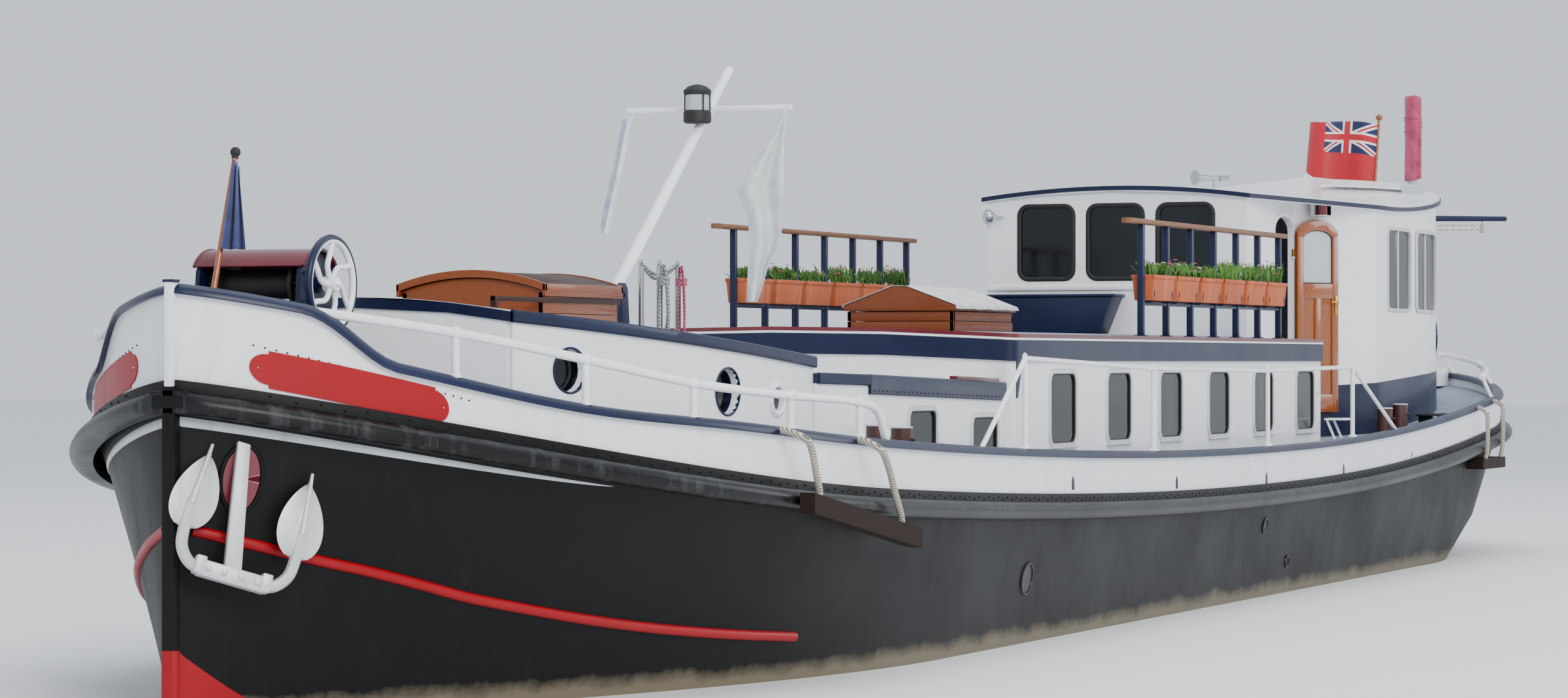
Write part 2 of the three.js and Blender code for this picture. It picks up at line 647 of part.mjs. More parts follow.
function buildHouse(deck, saloonRoof) {
  const aft = [20900, 21450, HOUSE_JOINT];
  const bend = [22400, 22750, 23050, 23300, 23480, 23570, HOUSE.to];
  const roofStations = [HOUSE.from - 40, HOUSE.step, HOUSE.wideFrom, ...aft, ...bend, HOUSE.to + 30];
  const roof = roofPlate(roofStations, roofHalf, houseTop, HOUSE_CAMBER);
  piece("wheelhouse_roof", roof, "white");
  const fore = [FRONT_JOINT + GAP, HOUSE.step, HOUSE.wideFrom];
  const sidePath = [...fore, ...aft, bend[0]].map((s) => [s, houseHalf(s)]);
  const abaft = box(HOUSE_JOINT, HOUSE.to + 500, -2500, 2500, 0, 4500);
  const ahead = box(HOUSE.from - 500, HOUSE_JOINT + GAP, -2500, 2500, 0, 4500);
  const doorway = doorShape(DOOR.width + 20, DOOR.height + 20, 600);
  doorway.translate(BOW_X - DOOR.station, HOUSE.fore, DOOR.sill - 10);
  const panes = HOUSE_WINDOWS.map((s) => roundedPlate(s, HOUSE.wide, 2910, 900, 800, 90, 900));
  const seated = (wall) => stand(wall, deck, roof);
  const openings = [toSolid(doorway), ...panes, abaft];
  const wall = hinged(cut(pathWall(sidePath, footOn, houseTop), ...openings));
  const { port, starboard } = pair("wheelhouse_side", wall, "white", seated);
  const corners = [FRONT_JOINT, HOUSE.from].map((s) => [s, houseHalf(s)]);
  const frontPath = [...corners.map(([s, y]) => [s, -y]), ...corners.reverse()];
  const front = pathWall(frontPath, () => SALOON.top + 20, (s) => houseTop(s) + HOUSE_CAMBER);
  const lights = [-680, 0, 680].map((y) => {
    const pane = roundedPlate(0, 0, 0, 540, 690, WINDOW_ROUND, 300);
    return pane.translate([-BOW_X, 0, 0]).rotate([0, 0, 90]).translate([BOW_X - HOUSE.from, y, 3115]);
  });
  piece("wheelhouse_front", cut(stand(front, saloonRoof, roof), ...lights), "white");
  const aftPath = [aft.at(-2), HOUSE_JOINT, ...bend].map((s) => [s, houseHalf(s)]);
  const across = aftPath.map(([s, y]) => [s, -y]).reverse();
  const hole = roundHole(22600, 1650, 2250, 225, 1000);
  const round = cut(pathWall([...aftPath, ...across], footOn, houseTop), ahead, hole);
  piece("wheelhouse_after", seated(round), "white");
  return { roof, port, starboard };
}

// A flat outline of stations and heights, drawn out across the boat.
function profile(points, y0, y1) {
  const outline = new THREE.Shape(points.map(([s, z]) => new THREE.Vector2(BOW_X - s, z)));
  const form = new THREE.ExtrudeGeometry(outline, { depth: y1 - y0, bevelEnabled: false });
  form.rotateX(Math.PI / 2);
  form.translate(0, y1, 0);
  return toSolid(form);
}

// A flat outline of y and z, drawn out along the boat.
function crossProfile(points, from, to) {
  const section = (s) => points.map(([y, z]) => at(s, y, z));
  return skin([section(from), section(to)], false);
}

const edgeAt = (inset, s) => halfBreadth(insetOutline(OUTLINES.deck, inset), s);
const railLine = (s) => edgeAt(BULWARK_THICK / 2, s);
const deckAt = (s, y) => deckEdge(s) + DECK_CAMBER * (halfBreadth(OUTLINES.deck, s) - Math.abs(y));
const onFloor = (solid, floor) => largest(fit(solid, floor, 0, 0, 1));

// Stem post, stern frame, propeller and rudder.
function buildStem() {
  const stem = ["bilge", "turn", "run"].map((name) => [OUTLINES[name].start, OUTLINES[name].z]);
  const back = [...stem, [0, POST.top]].map(([s, z]) => [s - GAP, z]);
  const face = back.map(([s, z]) => [s - POST.out, z]).reverse();
  piece("stem_post", profile([...back, ...face], -POST.half, POST.half), "white");
}

function buildSternFrame() {
  const { station, z, hub } = PROPELLER;
  const tubeEnd = station - 150;
  const heel = ["keel", "bilge", "turn"].map((name) => [OUTLINES[name].end + GAP, OUTLINES[name].z]);
  const web = profile([...heel, [21400, z + 60], [tubeEnd, z + 60], [tubeEnd - 40, SOLE.low]], -18, 18);
  const sole = box(SOLE.from, SOLE.to, -SOLE.half, SOLE.half, SOLE.low, SOLE.high);
  const tube = rod(at(21380, 0, z), at(tubeEnd, 0, z), hub + 10, 16);
  const bore = boreFor(at(tubeEnd - 120, 0, z), at(tubeEnd + 50, 0, z), PROPELLER.shaft);
  const stock = RUDDER.station;
  const gudgeon = boreFor(at(stock, 0, SOLE.low - 50), at(stock, 0, SOLE.high + 50), RUDDER_STOCK.pintle);
  piece("stern_frame", cut(join(web, sole, tube), bore, gudgeon), "hullBlack");
}

function buildPropeller() {
  const { station, z, radius, blades, hub } = PROPELLER;
  const boss = rod(at(station + 140, 0, z), at(station - 140, 0, z), hub * 0.6, 16, hub);
  const shaft = rod(at(station - 260, 0, z), at(station - 120, 0, z), PROPELLER.shaft, 24);
  const blade = new THREE.SphereGeometry(1, 10, 7);
  const length = (radius - hub * 0.5) / 2;
  blade.scale(14, 120, length);
  blade.rotateZ(THREE.MathUtils.degToRad(38));
  blade.translate(0, 0, radius - length);
  const set = Array.from({ length: blades }, (_, i) => {
    const turned = blade.clone().rotateX((2 * Math.PI * i) / blades);
    turned.translate(BOW_X - station, 0, z);
    return toSolid(turned);
  });
  piece("propeller", join(boss, shaft, ...set), "bronze");
}

function buildRudder() {
  const { station, from, to, top, bottom, thick } = RUDDER;
  const blade = box(from, to, -thick / 2, thick / 2, bottom, top);
  const post = rod(at(station, 0, bottom + 50), at(station, 0, RUDDER_STOCK.top), RUDDER_STOCK.radius, 16);
  const pin = rod(at(station, 0, SOLE.low), at(station, 0, bottom + 50), RUDDER_STOCK.pintle, 24);
  piece("rudder", join(blade, post, pin), "hullBlack");
}

// Anchor: a shank with two fluked arms, hung flat against the bow. It is drawn in a plane of
// its own, with x along the hull towards the stern and z up, then laid against the plating.
const ANCHOR = { station: 214, y: 317, z: 1130, heading: 47, lean: 9, roll: 17, out: 62 };

function buildAnchor(hull, strake) {
  const v = (x, y, z) => new THREE.Vector3(x, y, z);
  const bar = (points, radius) => bentTube(points, radius, 8, 6);
  const shank = rod(v(0, 0, -330), v(-60, 0, 400), 56, 4, 46);
  const crown = box(BOW_X - 190, BOW_X + 190, -45, 45, -370, -290);
  const arms = [-1, 1].map((side) => {
    const bend = [v(side * 150, 0, -335), v(side * 265, 0, -310), v(side * 320, 0, -180)];
    const tip = v(side * 300, 0, 330);
    const arm = bar([...bend, v(side * 320, 0, 0), tip], 34);
    const leaf = new THREE.SphereGeometry(1, 10, 8);
    leaf.scale(105, 24, 230);
    leaf.translate(side * 312, 0, 100);
    return join(arm, toSolid(leaf));
  });
  const flat = join(shank, crown, ...arms).rotate([0, ANCHOR.roll, 0]);
  const hung = flat.rotate([-ANCHOR.lean, 0, 0]).rotate([0, 0, 180 - ANCHOR.heading]);
  const turn = THREE.MathUtils.degToRad(ANCHOR.heading);
  const outward = [Math.sin(turn), Math.cos(turn)];
  const [x, y] = [BOW_X - ANCHOR.station + outward[0] * ANCHOR.out, ANCHOR.y + outward[1] * ANCHOR.out];
  const shift = outward.map((part) => part * 2 * GAP);
  const seat = (solid, body) => solid.subtract(body.translate([shift[0], shift[1], 0]));
  piece("anchor", largest(seat(seat(hung.translate([x, y, ANCHOR.z]), hull), strake)), "silver");
}

// Windlass: a frame with a curved cover, and a drum on one shaft with a spoked hand wheel.
function buildWindlass(deck) {
  const { station, half, axis, cover, wheelY, wheel, shaft } = WINDLASS;
  const arc = (radius) =>
    steps(140, 40, 8).map((a) => {
      const turn = THREE.MathUtils.degToRad(a);
      return [station - radius * Math.cos(turn), axis - 40 + radius * Math.sin(turn)];
    });
  const foot = [
    [station + 250, 1800],
    [station - 250, 1800],
  ];
  const cheekShape = [...arc(cover - 5), ...foot.slice().reverse()];
  const hole = boreFor(at(station, -600, axis), at(station, 600, axis), shaft);
  const cheeks = [-half, half - 30].map((y) => cut(profile(cheekShape, y, y + 30), hole));
  const hood = profile([...arc(cover), ...arc(cover - 14).reverse()], -half - 15, half + 15);
  const base = box(station - 260, station + 260, -half, half, 1800, deckAt(station, 0) + 20);
  piece("windlass_frame", onFloor(join(hood, base, ...cheeks), deck), "navy");

  const along = (y0, y1, radius, sides = 16) =>
    rod(at(station, y0, axis), at(station, y1, axis), radius, sides);
  const drum = [along(-240, 240, 100), along(-250, -225, 150), along(225, 250, 150)];
  const gear = along(265, 300, 130, 24);
  const rim = new THREE.TorusGeometry(wheel - 23, 23, 8, 28);
  rim.rotateX(Math.PI / 2);
  rim.translate(BOW_X - station, wheelY, axis);
  const spokes = steps(0, 300, 5).map((a) => {
    const spot = (radius, lead) => {
      const turn = THREE.MathUtils.degToRad(a + lead);
      return at(station - radius * Math.cos(turn), wheelY, axis + radius * Math.sin(turn));
    };
    return bentTube([spot(30, 0), spot(110, 6), spot(190, 28), spot(wheel - 20, 34)], 16, 5, 6);
  });
  const hub = [along(wheelY - 30, wheelY + 40, 48, 16), along(-half - 10, wheelY, shaft, 24)];
  piece("windlass_wheel", join(...drum, gear, toSolid(rim), ...spokes, ...hub), "white");
}

function buildForeDeckFittings(deck, cap) {
  const staff = rod(at(290, 0, 1950), at(660, 0, 3180), 20, 10, 15);
  piece("jackstaff", onFloor(join(staff, ball(at(660, 0, 3185), 32)), deck), "wood");
  const line = [[400, 2290], [1100, 2160], [1850, 2010], [2650, 1870], [3600, 1790], [4500, 1740]];
  const ends = [...line, [4780, 1680], [4920, 1500]];
  const point = ([s, z]) => at(s, railLine(s), z);
  const posts = line.slice(1).map(([s, z]) => rod(point([s, railTop(s) - SINK]), point([s, z]), TUBE, 8));
  const rail = join(bentTube(ends.map(point), 28, 20), ...posts);
  pair("fore_handrail", rail, "white", (side) => onFloor(side, cap));
}

// Bollards: two posts with round heads on a base plate.
function buildBollards(deck) {
  const sets = { fore_bollard: [5400, 5850, 2050, 240], aft_bollard: [19000, 19600, 2000, 280] };
  for (const [name, [fore, aft, y, height]] of Object.entries(sets)) {
    const floor = deckAt((fore + aft) / 2, y);
    const plate = box(fore - 130, aft + 130, y - 100, y + 100, floor - SINK, floor + 25);
    const posts = [fore, aft].map((s) => {
      const stem = rod(at(s, y, floor - SINK), at(s, y, floor + height), 72, 16);
      const head = rod(at(s, y, floor + height - 30), at(s, y, floor + height + 12), 84, 16, 70);
      return join(stem, head);
    });
    pair(name, join(plate, ...posts), "brown", (side) => onFloor(side, deck));
  }
}

// Companion hatch on the fore trunk: a coaming with a sliding top.
function buildHatch(foreRoof) {
  const { from, to, half, wall, top, thick, camber } = HATCH;
  const lid = roofPlate([from - 30, to + 30], () => half + 30, () => top + thick, camber, thick);
  piece("companion_slide", lid, "wood");
  const outer = box(from, to, -half, half, 2000, top + camber);
  const inner = box(from + wall, to - wall, -half + wall, half - wall, 1900, top + 2 * camber);
  const coaming = onFloor(cut(outer, inner), foreRoof);
  piece("companion_coaming", largest(fit(coaming, lid, 0, 0, -1)), "wood");
}

// Mast in its tabernacle, with its yard and lantern. It lies raked aft and swings on a pin.
const rakeTurn = THREE.MathUtils.degToRad(MAST.rake);
const alongMast = (distance, y = 0) =>
  at(MAST.station + distance * Math.sin(rakeTurn), y, MAST.hinge + distance * Math.cos(rakeTurn));

function buildMast(lowRoof) {
  const { station, hinge, length, foot, tip, pin } = MAST;
  const spar = rod(alongMast(-70), alongMast(length), foot, 16, tip);
  const ends = (half) => [at(station, -half, hinge), at(station, half, hinge)];
  const yard = rod(alongMast(YARD.along, -YARD.half), alongMast(YARD.along, YARD.half), YARD.radius, 10);
  const truck = ball(alongMast(length), 48);
  const { station: spot, low, high, radius } = LANTERN;
  const body = rod(at(spot, 0, low), at(spot, 0, high), radius, 16, radius * 0.85);
  const cap = rod(at(spot, 0, high - 10), at(spot, 0, high + 40), radius * 0.8, 12, radius * 0.3);
  const mid = (low + high) / 2;
  const arm = rod(at(spot, 0, mid), at(spot + 260, 0, mid), 14, 8);
  piece("mast", join(cut(spar, boreFor(...ends(200), pin)), yard, truck, body, cap, arm), "white");

  const shape = [[5560, 1900], [5860, 1900], [5790, 2530], [5640, 2530]];
  const cheeks = [-72, 52].map((y) => profile(shape, y, y + 20));
  const base = box(5520, 6280, -120, 320, 1900, 1990);
  const hanks = [5900, 6200].flatMap((s) =>
    [120, 260].map((y) => rod(at(s, y, 1900), at(s, y, 2650), 20, 10)),
  );
  const tabernacle = join(...cheeks, base, rod(...ends(72), pin, 24), ...hanks);
  piece("mast_tabernacle", onFloor(tabernacle, lowRoof), "navy");
}

// Sun deck: skylight with a hinged lid, teak rails with planters, side deck guard rails.
function buildSkylight(roof) {
  const { from, to, low, high, top, wall, ridge } = SKYLIGHT;
  const outer = box(from, to, low, high, SALOON.top - SINK, top);
  const inner = box(from + wall, to - wall, low + wall, high - wall, SALOON.top - 100, top + 100);
  piece("skylight_coaming", onFloor(cut(outer, inner), roof), "wood");
  const middle = (low + high) / 2;
  const section = [
    [low - 30, top + GAP],
    [high + 30, top + GAP],
    [high + 30, top + 40],
    [middle + 60, ridge],
    [middle - 60, ridge],
    [low - 30, top + 40],
  ];
  piece("skylight_lid", crossProfile(section, from - 30, to + 30), "wood");
}

function buildSunRails(roof) {
  const { from, to, y, top, bar } = SUN_RAIL;
  const { count, first, pitch } = SUN_POSTS;
  const cap = box(from, to, y - 45, y + 45, top - 45, top);
  const lower = box(first, first + pitch * (count - 1), y - 20, y + 20, bar - 20, bar + 20);
  const set = Array.from({ length: count }, (_, i) => {
    const s = first + pitch * i;
    return box(s - 30, s + 30, y - 30, y + 30, SALOON.top - SINK, top - 20);
  });
  const troughs = Array.from({ length: count - 1 }, (_, i) => {
    const s = first + pitch * (i + 0.5);
    return box(s - TROUGH.half, s + TROUGH.half, y + TROUGH.near, y + TROUGH.far, bar, bar + TROUGH.height);
  });
  pair("sun_rail", join(cap, lower, ...set, ...troughs), "navy", (side) => onFloor(side, roof));
}

function buildGuardRails(cap) {
  const { from, to, posts, above } = GUARD;
  const point = (s, rise) => at(s, railLine(s), railTop(s) + rise);
  const line = [point(from, -SINK), ...posts.map((s) => point(s, above)), point(to, -SINK)];
  const runs = line.slice(1).map((p, i) => rod(line[i], p, TUBE, 8));
  const stems = posts.map((s) => rod(point(s, -SINK), point(s, above), TUBE, 8));
  pair("guard_rail", join(...runs, ...stems), "white", (side) => onFloor(side, cap));
}

// Wheelhouse doors. Both are drawn shut, and the port leaf is then laid open along its wall.
function buildDoors() {
  const { width, height, sill, thick, open, pivotY } = DOOR;
  const leaf = doorShape(width - 10, height, thick);
  leaf.translate(BOW_X - DOOR_HINGE + 5 + width / 2, pivotY - 8 - thick / 2, sill);
  const reliefs = HINGES.map((z) => hingeRod(z - 24, z + GAP, 17));
  const knuckles = HINGES.map((z) => hingeRod(z + GAP, z + 36, 15));
  const bores = HINGES.map((z) => boreFor(hingePoint(z - 30), hingePoint(z + 60), HINGE_PIN, 10));
  const shut = cut(join(cut(toSolid(leaf), ...reliefs), ...knuckles), ...bores);
  const x = BOW_X - DOOR_HINGE;
  const laid = shut.translate([-x, -pivotY, 0]).rotate([0, 0, open]).translate([x, pivotY, 0]);
  piece("door_port", laid, "wood");
  piece("door_starboard", mirror(shut), "wood");
}

// Stern: flue on the roof, boom on its post, rail, and fender boards hung on ropes.
function buildStern(deck, cap, house) {
  const foot = houseTop(FLUE.station) - FLUE.sunk;
  const pipe = rod(at(FLUE.station, FLUE.y, foot), at(FLUE.station, FLUE.y, FLUE.top), FLUE.radius, 16);
  const { station: flueAt, y: flueY, pad: reach } = FLUE;
  const pad = box(flueAt - reach, flueAt + reach, flueY - reach, flueY + reach, foot, FLUE.padTop);
  piece("flue", onFloor(join(pipe, pad), house.roof), "white");

  const { station, z, reachAft, reachOut } = BOOM;
  const post = rod(at(station, 0, 1600), at(station, 0, z - 60), 50, 16);
  const spindle = rod(at(station, 0, z - 80), at(station, 0, z + 40), BOOM.pin, 24);
  piece("boom_post", onFloor(join(post, spindle), deck), "navy");
  const collar = cut(
    rod(at(station, 0, z - 60 + GAP), at(station, 0, z + 80), 50, 16),
    boreFor(at(station, 0, z - 100), at(station, 0, z + 45), BOOM.pin),
  );
  const tip = at(station + reachAft, reachOut, z + 10);
  const root = at(station, 0, z + 10).lerp(tip, 0.02);
  piece("boom", join(collar, rod(root, tip, 42, 12, 26)), "navy");

  const spot = (s, side) => at(s, side * edgeAt(120, s), railTop(s) + 200);
  const stops = [22200, 22900, 23500, 24000, 24380, 24620, 24780];
  const portRun = stops.map((s) => spot(s, 1));
  const ring = [...portRun, ...stops.map((s) => spot(s, -1)).reverse()];
  const tube = bentTube(ring, TUBE, 36);
  const stems = [22250, 23500, 24380].flatMap((s) =>
    [1, -1].map((side) => rod(at(s, side * railLine(s), railTop(s) - SINK), spot(s, side), 18, 8)),
  );
  piece("stern_rail", onFloor(join(tube, ...stems), cap), "white");
}

const strakeY = (s) => edgeAt(-STRAKE_DEPTH, s);

// A board between two points of [station, height], against the strake's outermost line.
function fenderBoard(fore, aft, inner, depth, height) {
  const section = ([s, z]) => {
    const [near, far, half] = [inner(s), inner(s) + depth, height / 2];
    return [at(s, near, z - half), at(s, far, z - half), at(s, far, z + half), at(s, near, z + half)];
  };
  return skin([section(fore), section(aft)], false);
}

// A rope leaves the cap rail sideways, turns down outside the strake and ends on the board.
function ropeRoute(s, [endS, endY, endZ]) {
  const z = railTop(s) - CAP_HEIGHT / 2;
  const out = edgeAt(-CAP_WIDTH / 2 + BULWARK_THICK / 2, s);
  const turn = Math.max(strakeY(s) + ROPE_RADIUS + 6, endY);
  const low = Math.max(endZ + 30, strakeTop(endS) - STRAKE_HEIGHT - 10);
  return [
    at(s, out - 14, z),
    at(s, out + 35, z - 4),
    at(s, turn - 8, z - 60),
    at((2 * s + endS) / 3, turn, (2 * z + low) / 3),
    at((s + 2 * endS) / 3, turn, (z + 2 * low) / 3),
    at(endS, Math.max(endY, turn - 12), low),
    at(endS, endY, endZ - 8),
  ];
}

function buildFenders(cap, strake) {
  const hang = (name, board, ropes) =>
    ropes.forEach(([s, end], i) => {
      const rope = bentTube(ropeRoute(s, end), ROPE_RADIUS, 14, 8);
      const clear = fit(fit(fit(rope, board, 0, 0, 1), strake, 0, 1, 0), cap, 0, 1, 0);
      piece(name + "_rope_" + (i + 1), largest(clear), "rope");
    });
  const { fore, aft, depth, height } = MID_FENDER;
  const part = (s) => (s - fore[0]) / (aft[0] - fore[0]);
  const chord = (s) => strakeY(fore[0]) + part(s) * (strakeY(aft[0]) - strakeY(fore[0]));
  const bulge = Math.max(...steps(fore[0], aft[0], 30).map((s) => strakeY(s) - chord(s)));
  const inner = (s) => chord(s) + bulge - 8;
  const board = largest(fit(fenderBoard(fore, aft, inner, depth, height), strake, 0, 1, 0));
  piece("mid_fender_board", board, "brown");
  const topOf = (s) => fore[1] + part(s) * (aft[1] - fore[1]) + height / 2;
  const end = (s) => [s, inner(s) + depth / 2, topOf(s)];
  hang("mid_fender", board, MID_ROPES.map(([s, to]) => [s, end(to)]));

  const { low, high, inboard, thick } = STERN_FENDER;
  const log = box(STERN_FENDER.from, STERN_FENDER.to, inboard, inboard + thick, low, high);
  const seated = largest(fit(log, hull, 0, 1, 0));
  piece("stern_fender_board", seated, "brown");
  hang("stern_fender", seated, STERN_ROPES.map((s) => [s, [s, inboard + thick - ROPE_RADIUS, high]]));
}

const { hull, deck } = buildHull();
const cap = buildBulwark(deck);
const strake = buildStrake();
const foreRoof = buildForeTrunk(hull, deck);
const lowRoof = buildLowTrunk(deck);
const saloonRoof = buildSaloon(hull, deck);
const house = buildHouse(deck, saloonRoof);
buildStem();
buildSternFrame();
buildPropeller();
buildRudder();
buildAnchor(hull, strake);
buildWindlass(deck);
buildForeDeckFittings(deck, cap);
buildBollards(deck);
buildHatch(foreRoof);
buildMast(lowRoof);
buildSkylight(saloonRoof);
buildSunRails(saloonRoof);
buildGuardRails(cap);
buildDoors();
buildStern(deck, cap, house);
buildFenders(cap, strake);

export default boat;
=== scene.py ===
# %% [markdown]
# A Dutch canal barge, afloat. The imported CAD part gives every solid and every moving body, and this
# lesson dresses it: smooth plating, paint, glass, wood, rope and cloth. We load the frame first.

from math import cos, exp, pi, radians, sin, sqrt

import bmesh
import bpy
from mathutils import Matrix, Vector


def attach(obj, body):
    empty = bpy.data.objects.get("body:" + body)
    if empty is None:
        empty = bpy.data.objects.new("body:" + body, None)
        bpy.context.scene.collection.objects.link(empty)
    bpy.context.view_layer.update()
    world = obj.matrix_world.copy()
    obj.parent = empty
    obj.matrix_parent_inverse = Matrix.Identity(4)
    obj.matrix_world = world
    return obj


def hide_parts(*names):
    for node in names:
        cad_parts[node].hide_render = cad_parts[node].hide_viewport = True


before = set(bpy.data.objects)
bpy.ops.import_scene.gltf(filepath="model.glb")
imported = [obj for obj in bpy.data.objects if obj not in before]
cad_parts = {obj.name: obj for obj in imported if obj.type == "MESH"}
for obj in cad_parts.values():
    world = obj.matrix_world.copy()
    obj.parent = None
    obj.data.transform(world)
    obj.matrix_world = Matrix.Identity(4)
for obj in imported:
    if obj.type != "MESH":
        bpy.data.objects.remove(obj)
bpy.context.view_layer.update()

# %% [markdown]
# The picture was taken with a long lens from the quay, ahead of the port bow. The lens and place come
# from the boat's known lines. A camera that looks along a direction is turned with to_track_quat.

# %% Camera at the quay
EYE = Vector((31.777, 11.705, 2.0))
LOOK = Vector((-0.92264, -0.38566, 0.00303))
camera_data = bpy.data.cameras.new("quay_camera")
camera_data.sensor_width = 36
camera_data.lens = 92.8
camera_data.clip_end = 400
camera = bpy.data.objects.new("quay_camera", camera_data)
camera.location = EYE
camera.rotation_euler = LOOK.to_track_quat("-Z", "Y").to_euler()
bpy.context.scene.collection.objects.link(camera)
bpy.context.scene.camera = camera
print("lens", camera_data.lens, "mm from", tuple(EYE))

# %% [markdown]
# The hull's lines are worked out from a few outlines, each a half breadth at every station. A station is
# a distance aft of the stem. The same formulas made the CAD part, so that a new piece lands on it.

# %% Lines of the hull
BOW_X = 12.5
OUTLINES = {
    "keel": (-1.15, 1.6, 0.52, 20.3, (5.2, 1.7, 1), (8, 1.5, 1)),
    "bilge": (-1.02, 1.98, 0.26, 20.8, (5.5, 1.7, 1), (7.6, 1.6, 1)),
    "turn": (-0.72, 2.16, 0.07, 21.3, (5.7, 1.8, 1), (6.9, 1.8, 1.1)),
    "run": (-0.32, 2.2, 0, 21.7, (5.9, 1.8, 1), (5.2, 2, 1.5)),
    "counter": (-0.15, 2.205, 0, 22.9, (5.95, 1.8, 1), (4.6, 2, 1.8)),
    "water": (0, 2.21, 0, 23.5, (6, 1.8, 1), (3.5, 2, 2)),
    "side": (0.42, 2.24, 0, 24.2, (5.9, 2, 1.06), (3, 2, 2)),
    "strake": (None, 2.31, 0, 24.8, (5.6, 2.45, 1.2), (2.85, 2, 2)),
    "deck": (None, 2.33, 0, 25, (5.5, 2.6, 1.25), (2.85, 2, 2)),
}
STRAKE_HEIGHT, CAP_HEIGHT, BULWARK, STEM_REACH = 0.2, 0.06, 0.045, 0.068


def at(s, y, z):
    return Vector((BOW_X - s, y, z))


def smoothstep(x, low, high):
    t = min(1, max(0, (x - low) / (high - low)))
    return t * t * (3 - 2 * t)


def strake_top(s):
    fore, aft, bow = max(0, 13.5 - s), max(0, s - 13.5), max(0, 1 - s / 5)
    return 0.97 + 0.0029 * fore**2 + 0.0019 * aft**2.4 + 0.4 * bow**2.3


def rail_top(s):
    high = smoothstep(0.8 - s, 0, 0.4)
    return strake_top(s) + 0.32 + 0.22 * high - 0.07 * exp(-((s - 1.7) ** 2))


def deck_edge(s):
    return strake_top(s) + 0.18


def half_breadth(name, s, inset=0, least=0.02):
    _, half, start, end, bow, stern = OUTLINES[name]
    half, start, end = half - inset, start + 1.4 * inset, end - inset
    to_bow = min(1, max(0, 1 - (s - start) / bow[0]))
    to_stern = min(1, max(0, 1 - (end - s) / stern[0]))
    fore, aft = (1 - to_bow ** bow[1]) ** (1 / bow[2]), (1 - to_stern ** stern[1]) ** (1 / stern[2])
    return max(least, half * fore * aft)


def edge_at(inset, s):
    return half_breadth("deck", s, inset)


def rail_line(s):
    return edge_at(BULWARK / 2, s)


def deck_at(s, y):
    return deck_edge(s) + 0.03 * (half_breadth("deck", s) - abs(y))


print("breadth amidships", 2 * edge_at(0, 12), "rail over the water at the bow", round(rail_top(0), 3))

# %% [markdown]
# Four ropes hold the fender boards. Each leaves the cap rail sideways, hangs outside the rubbing strake and
# ends on its board. A curve with a round bevel is the easiest tube, laid along the smooth line through its
# knots, and it is made a mesh.

# %% Ropes of the fenders
ROPE = 0.022


def smooth_path(knots, per_span=8):
    knots = [Vector(k) for k in knots]
    points = [2 * knots[0] - knots[1], *knots, 2 * knots[-1] - knots[-2]]
    path = []
    for p0, p1, p2, p3 in zip(points, points[1:], points[2:], points[3:]):
        d0, d1, d2 = (max(1e-6, (b - a).length) ** 0.5 for a, b in ((p0, p1), (p1, p2), (p2, p3)))
        out = ((p1 - p0) / d0 - (p2 - p0) / (d0 + d1) + (p2 - p1) / d1) * d1
        into = ((p2 - p1) / d1 - (p3 - p1) / (d1 + d2) + (p3 - p2) / d2) * d1
        for i in range(per_span):
            t = i / per_span
            blend = 2 * t**3 - 3 * t**2 + 1, t**3 - 2 * t**2 + t, 3 * t**2 - 2 * t**3, t**3 - t**2
            path.append(p1 * blend[0] + out * blend[1] + p2 * blend[2] + into * blend[3])
    return [*path, knots[-1]]


def bent_mesh(points, radius, resolution, closed=False):
    """A tube along points, as a mesh."""
    curve = bpy.data.curves.new("bent", "CURVE")
    curve.dimensions = "3D"
    curve.bevel_depth = radius
    curve.bevel_resolution = resolution
    curve.use_fill_caps = not closed
    spline = curve.splines.new("POLY")
    spline.points.add(len(points) - 1)
    for point, spot in zip(spline.points, points):
        point.co = (*spot, 1)
    spline.use_cyclic_u = closed
    holder = bpy.data.objects.new("bent", curve)
    bpy.context.scene.collection.objects.link(holder)
    mesh = bpy.data.meshes.new_from_object(holder.evaluated_get(bpy.context.evaluated_depsgraph_get()))
    bpy.data.objects.remove(holder)
    bpy.data.curves.remove(curve)
    return mesh


def rope_knots(s, end_s, end_y, end_z):
    z = rail_top(s) - CAP_HEIGHT / 2
    out = edge_at(-0.055 + BULWARK / 2, s)
    turn = max(edge_at(-0.11, s) + ROPE + 0.006, end_y)
    low = max(end_z + 0.03, strake_top(end_s) - STRAKE_HEIGHT - 0.01)
    return [
        at(s, out - 0.014, z),
        at(s, out + 0.035, z - 0.004),
        at(s, turn - 0.008, z - 0.06),
        at((2 * s + end_s) / 3, turn, (2 * z + low) / 3),
        at((s + 2 * end_s) / 3, turn, (z + 2 * low) / 3),
        at(end_s, max(end_y, turn - 0.012), low),
        at(end_s, end_y, end_z - 0.008),
    ]


MID_BOARD = {"fore": (3.4, 1.14), "aft": (4.9, 0.87), "depth": 0.1, "height": 0.125}


def mid_board_face(s):
    (fore, _), (aft, _) = MID_BOARD["fore"], MID_BOARD["aft"]

    def chord(q):
        part = (q - fore) / (aft - fore)
        return edge_at(-0.11, fore) + part * (edge_at(-0.11, aft) - edge_at(-0.11, fore))

    spots = [fore + (aft - fore) * i / 30 for i in range(31)]
    return chord(s) + max(edge_at(-0.11, q) - chord(q) for q in spots) - 0.008


def mid_board_height(s):
    (fore, z0), (aft, z1) = MID_BOARD["fore"], MID_BOARD["aft"]
    return z0 + (s - fore) / (aft - fore) * (z1 - z0)


def rope_to_mid_board(s, end_s):
    top = mid_board_height(end_s) + MID_BOARD["height"] / 2
    return rope_knots(s, end_s, mid_board_face(end_s) + MID_BOARD["depth"] / 2, top)


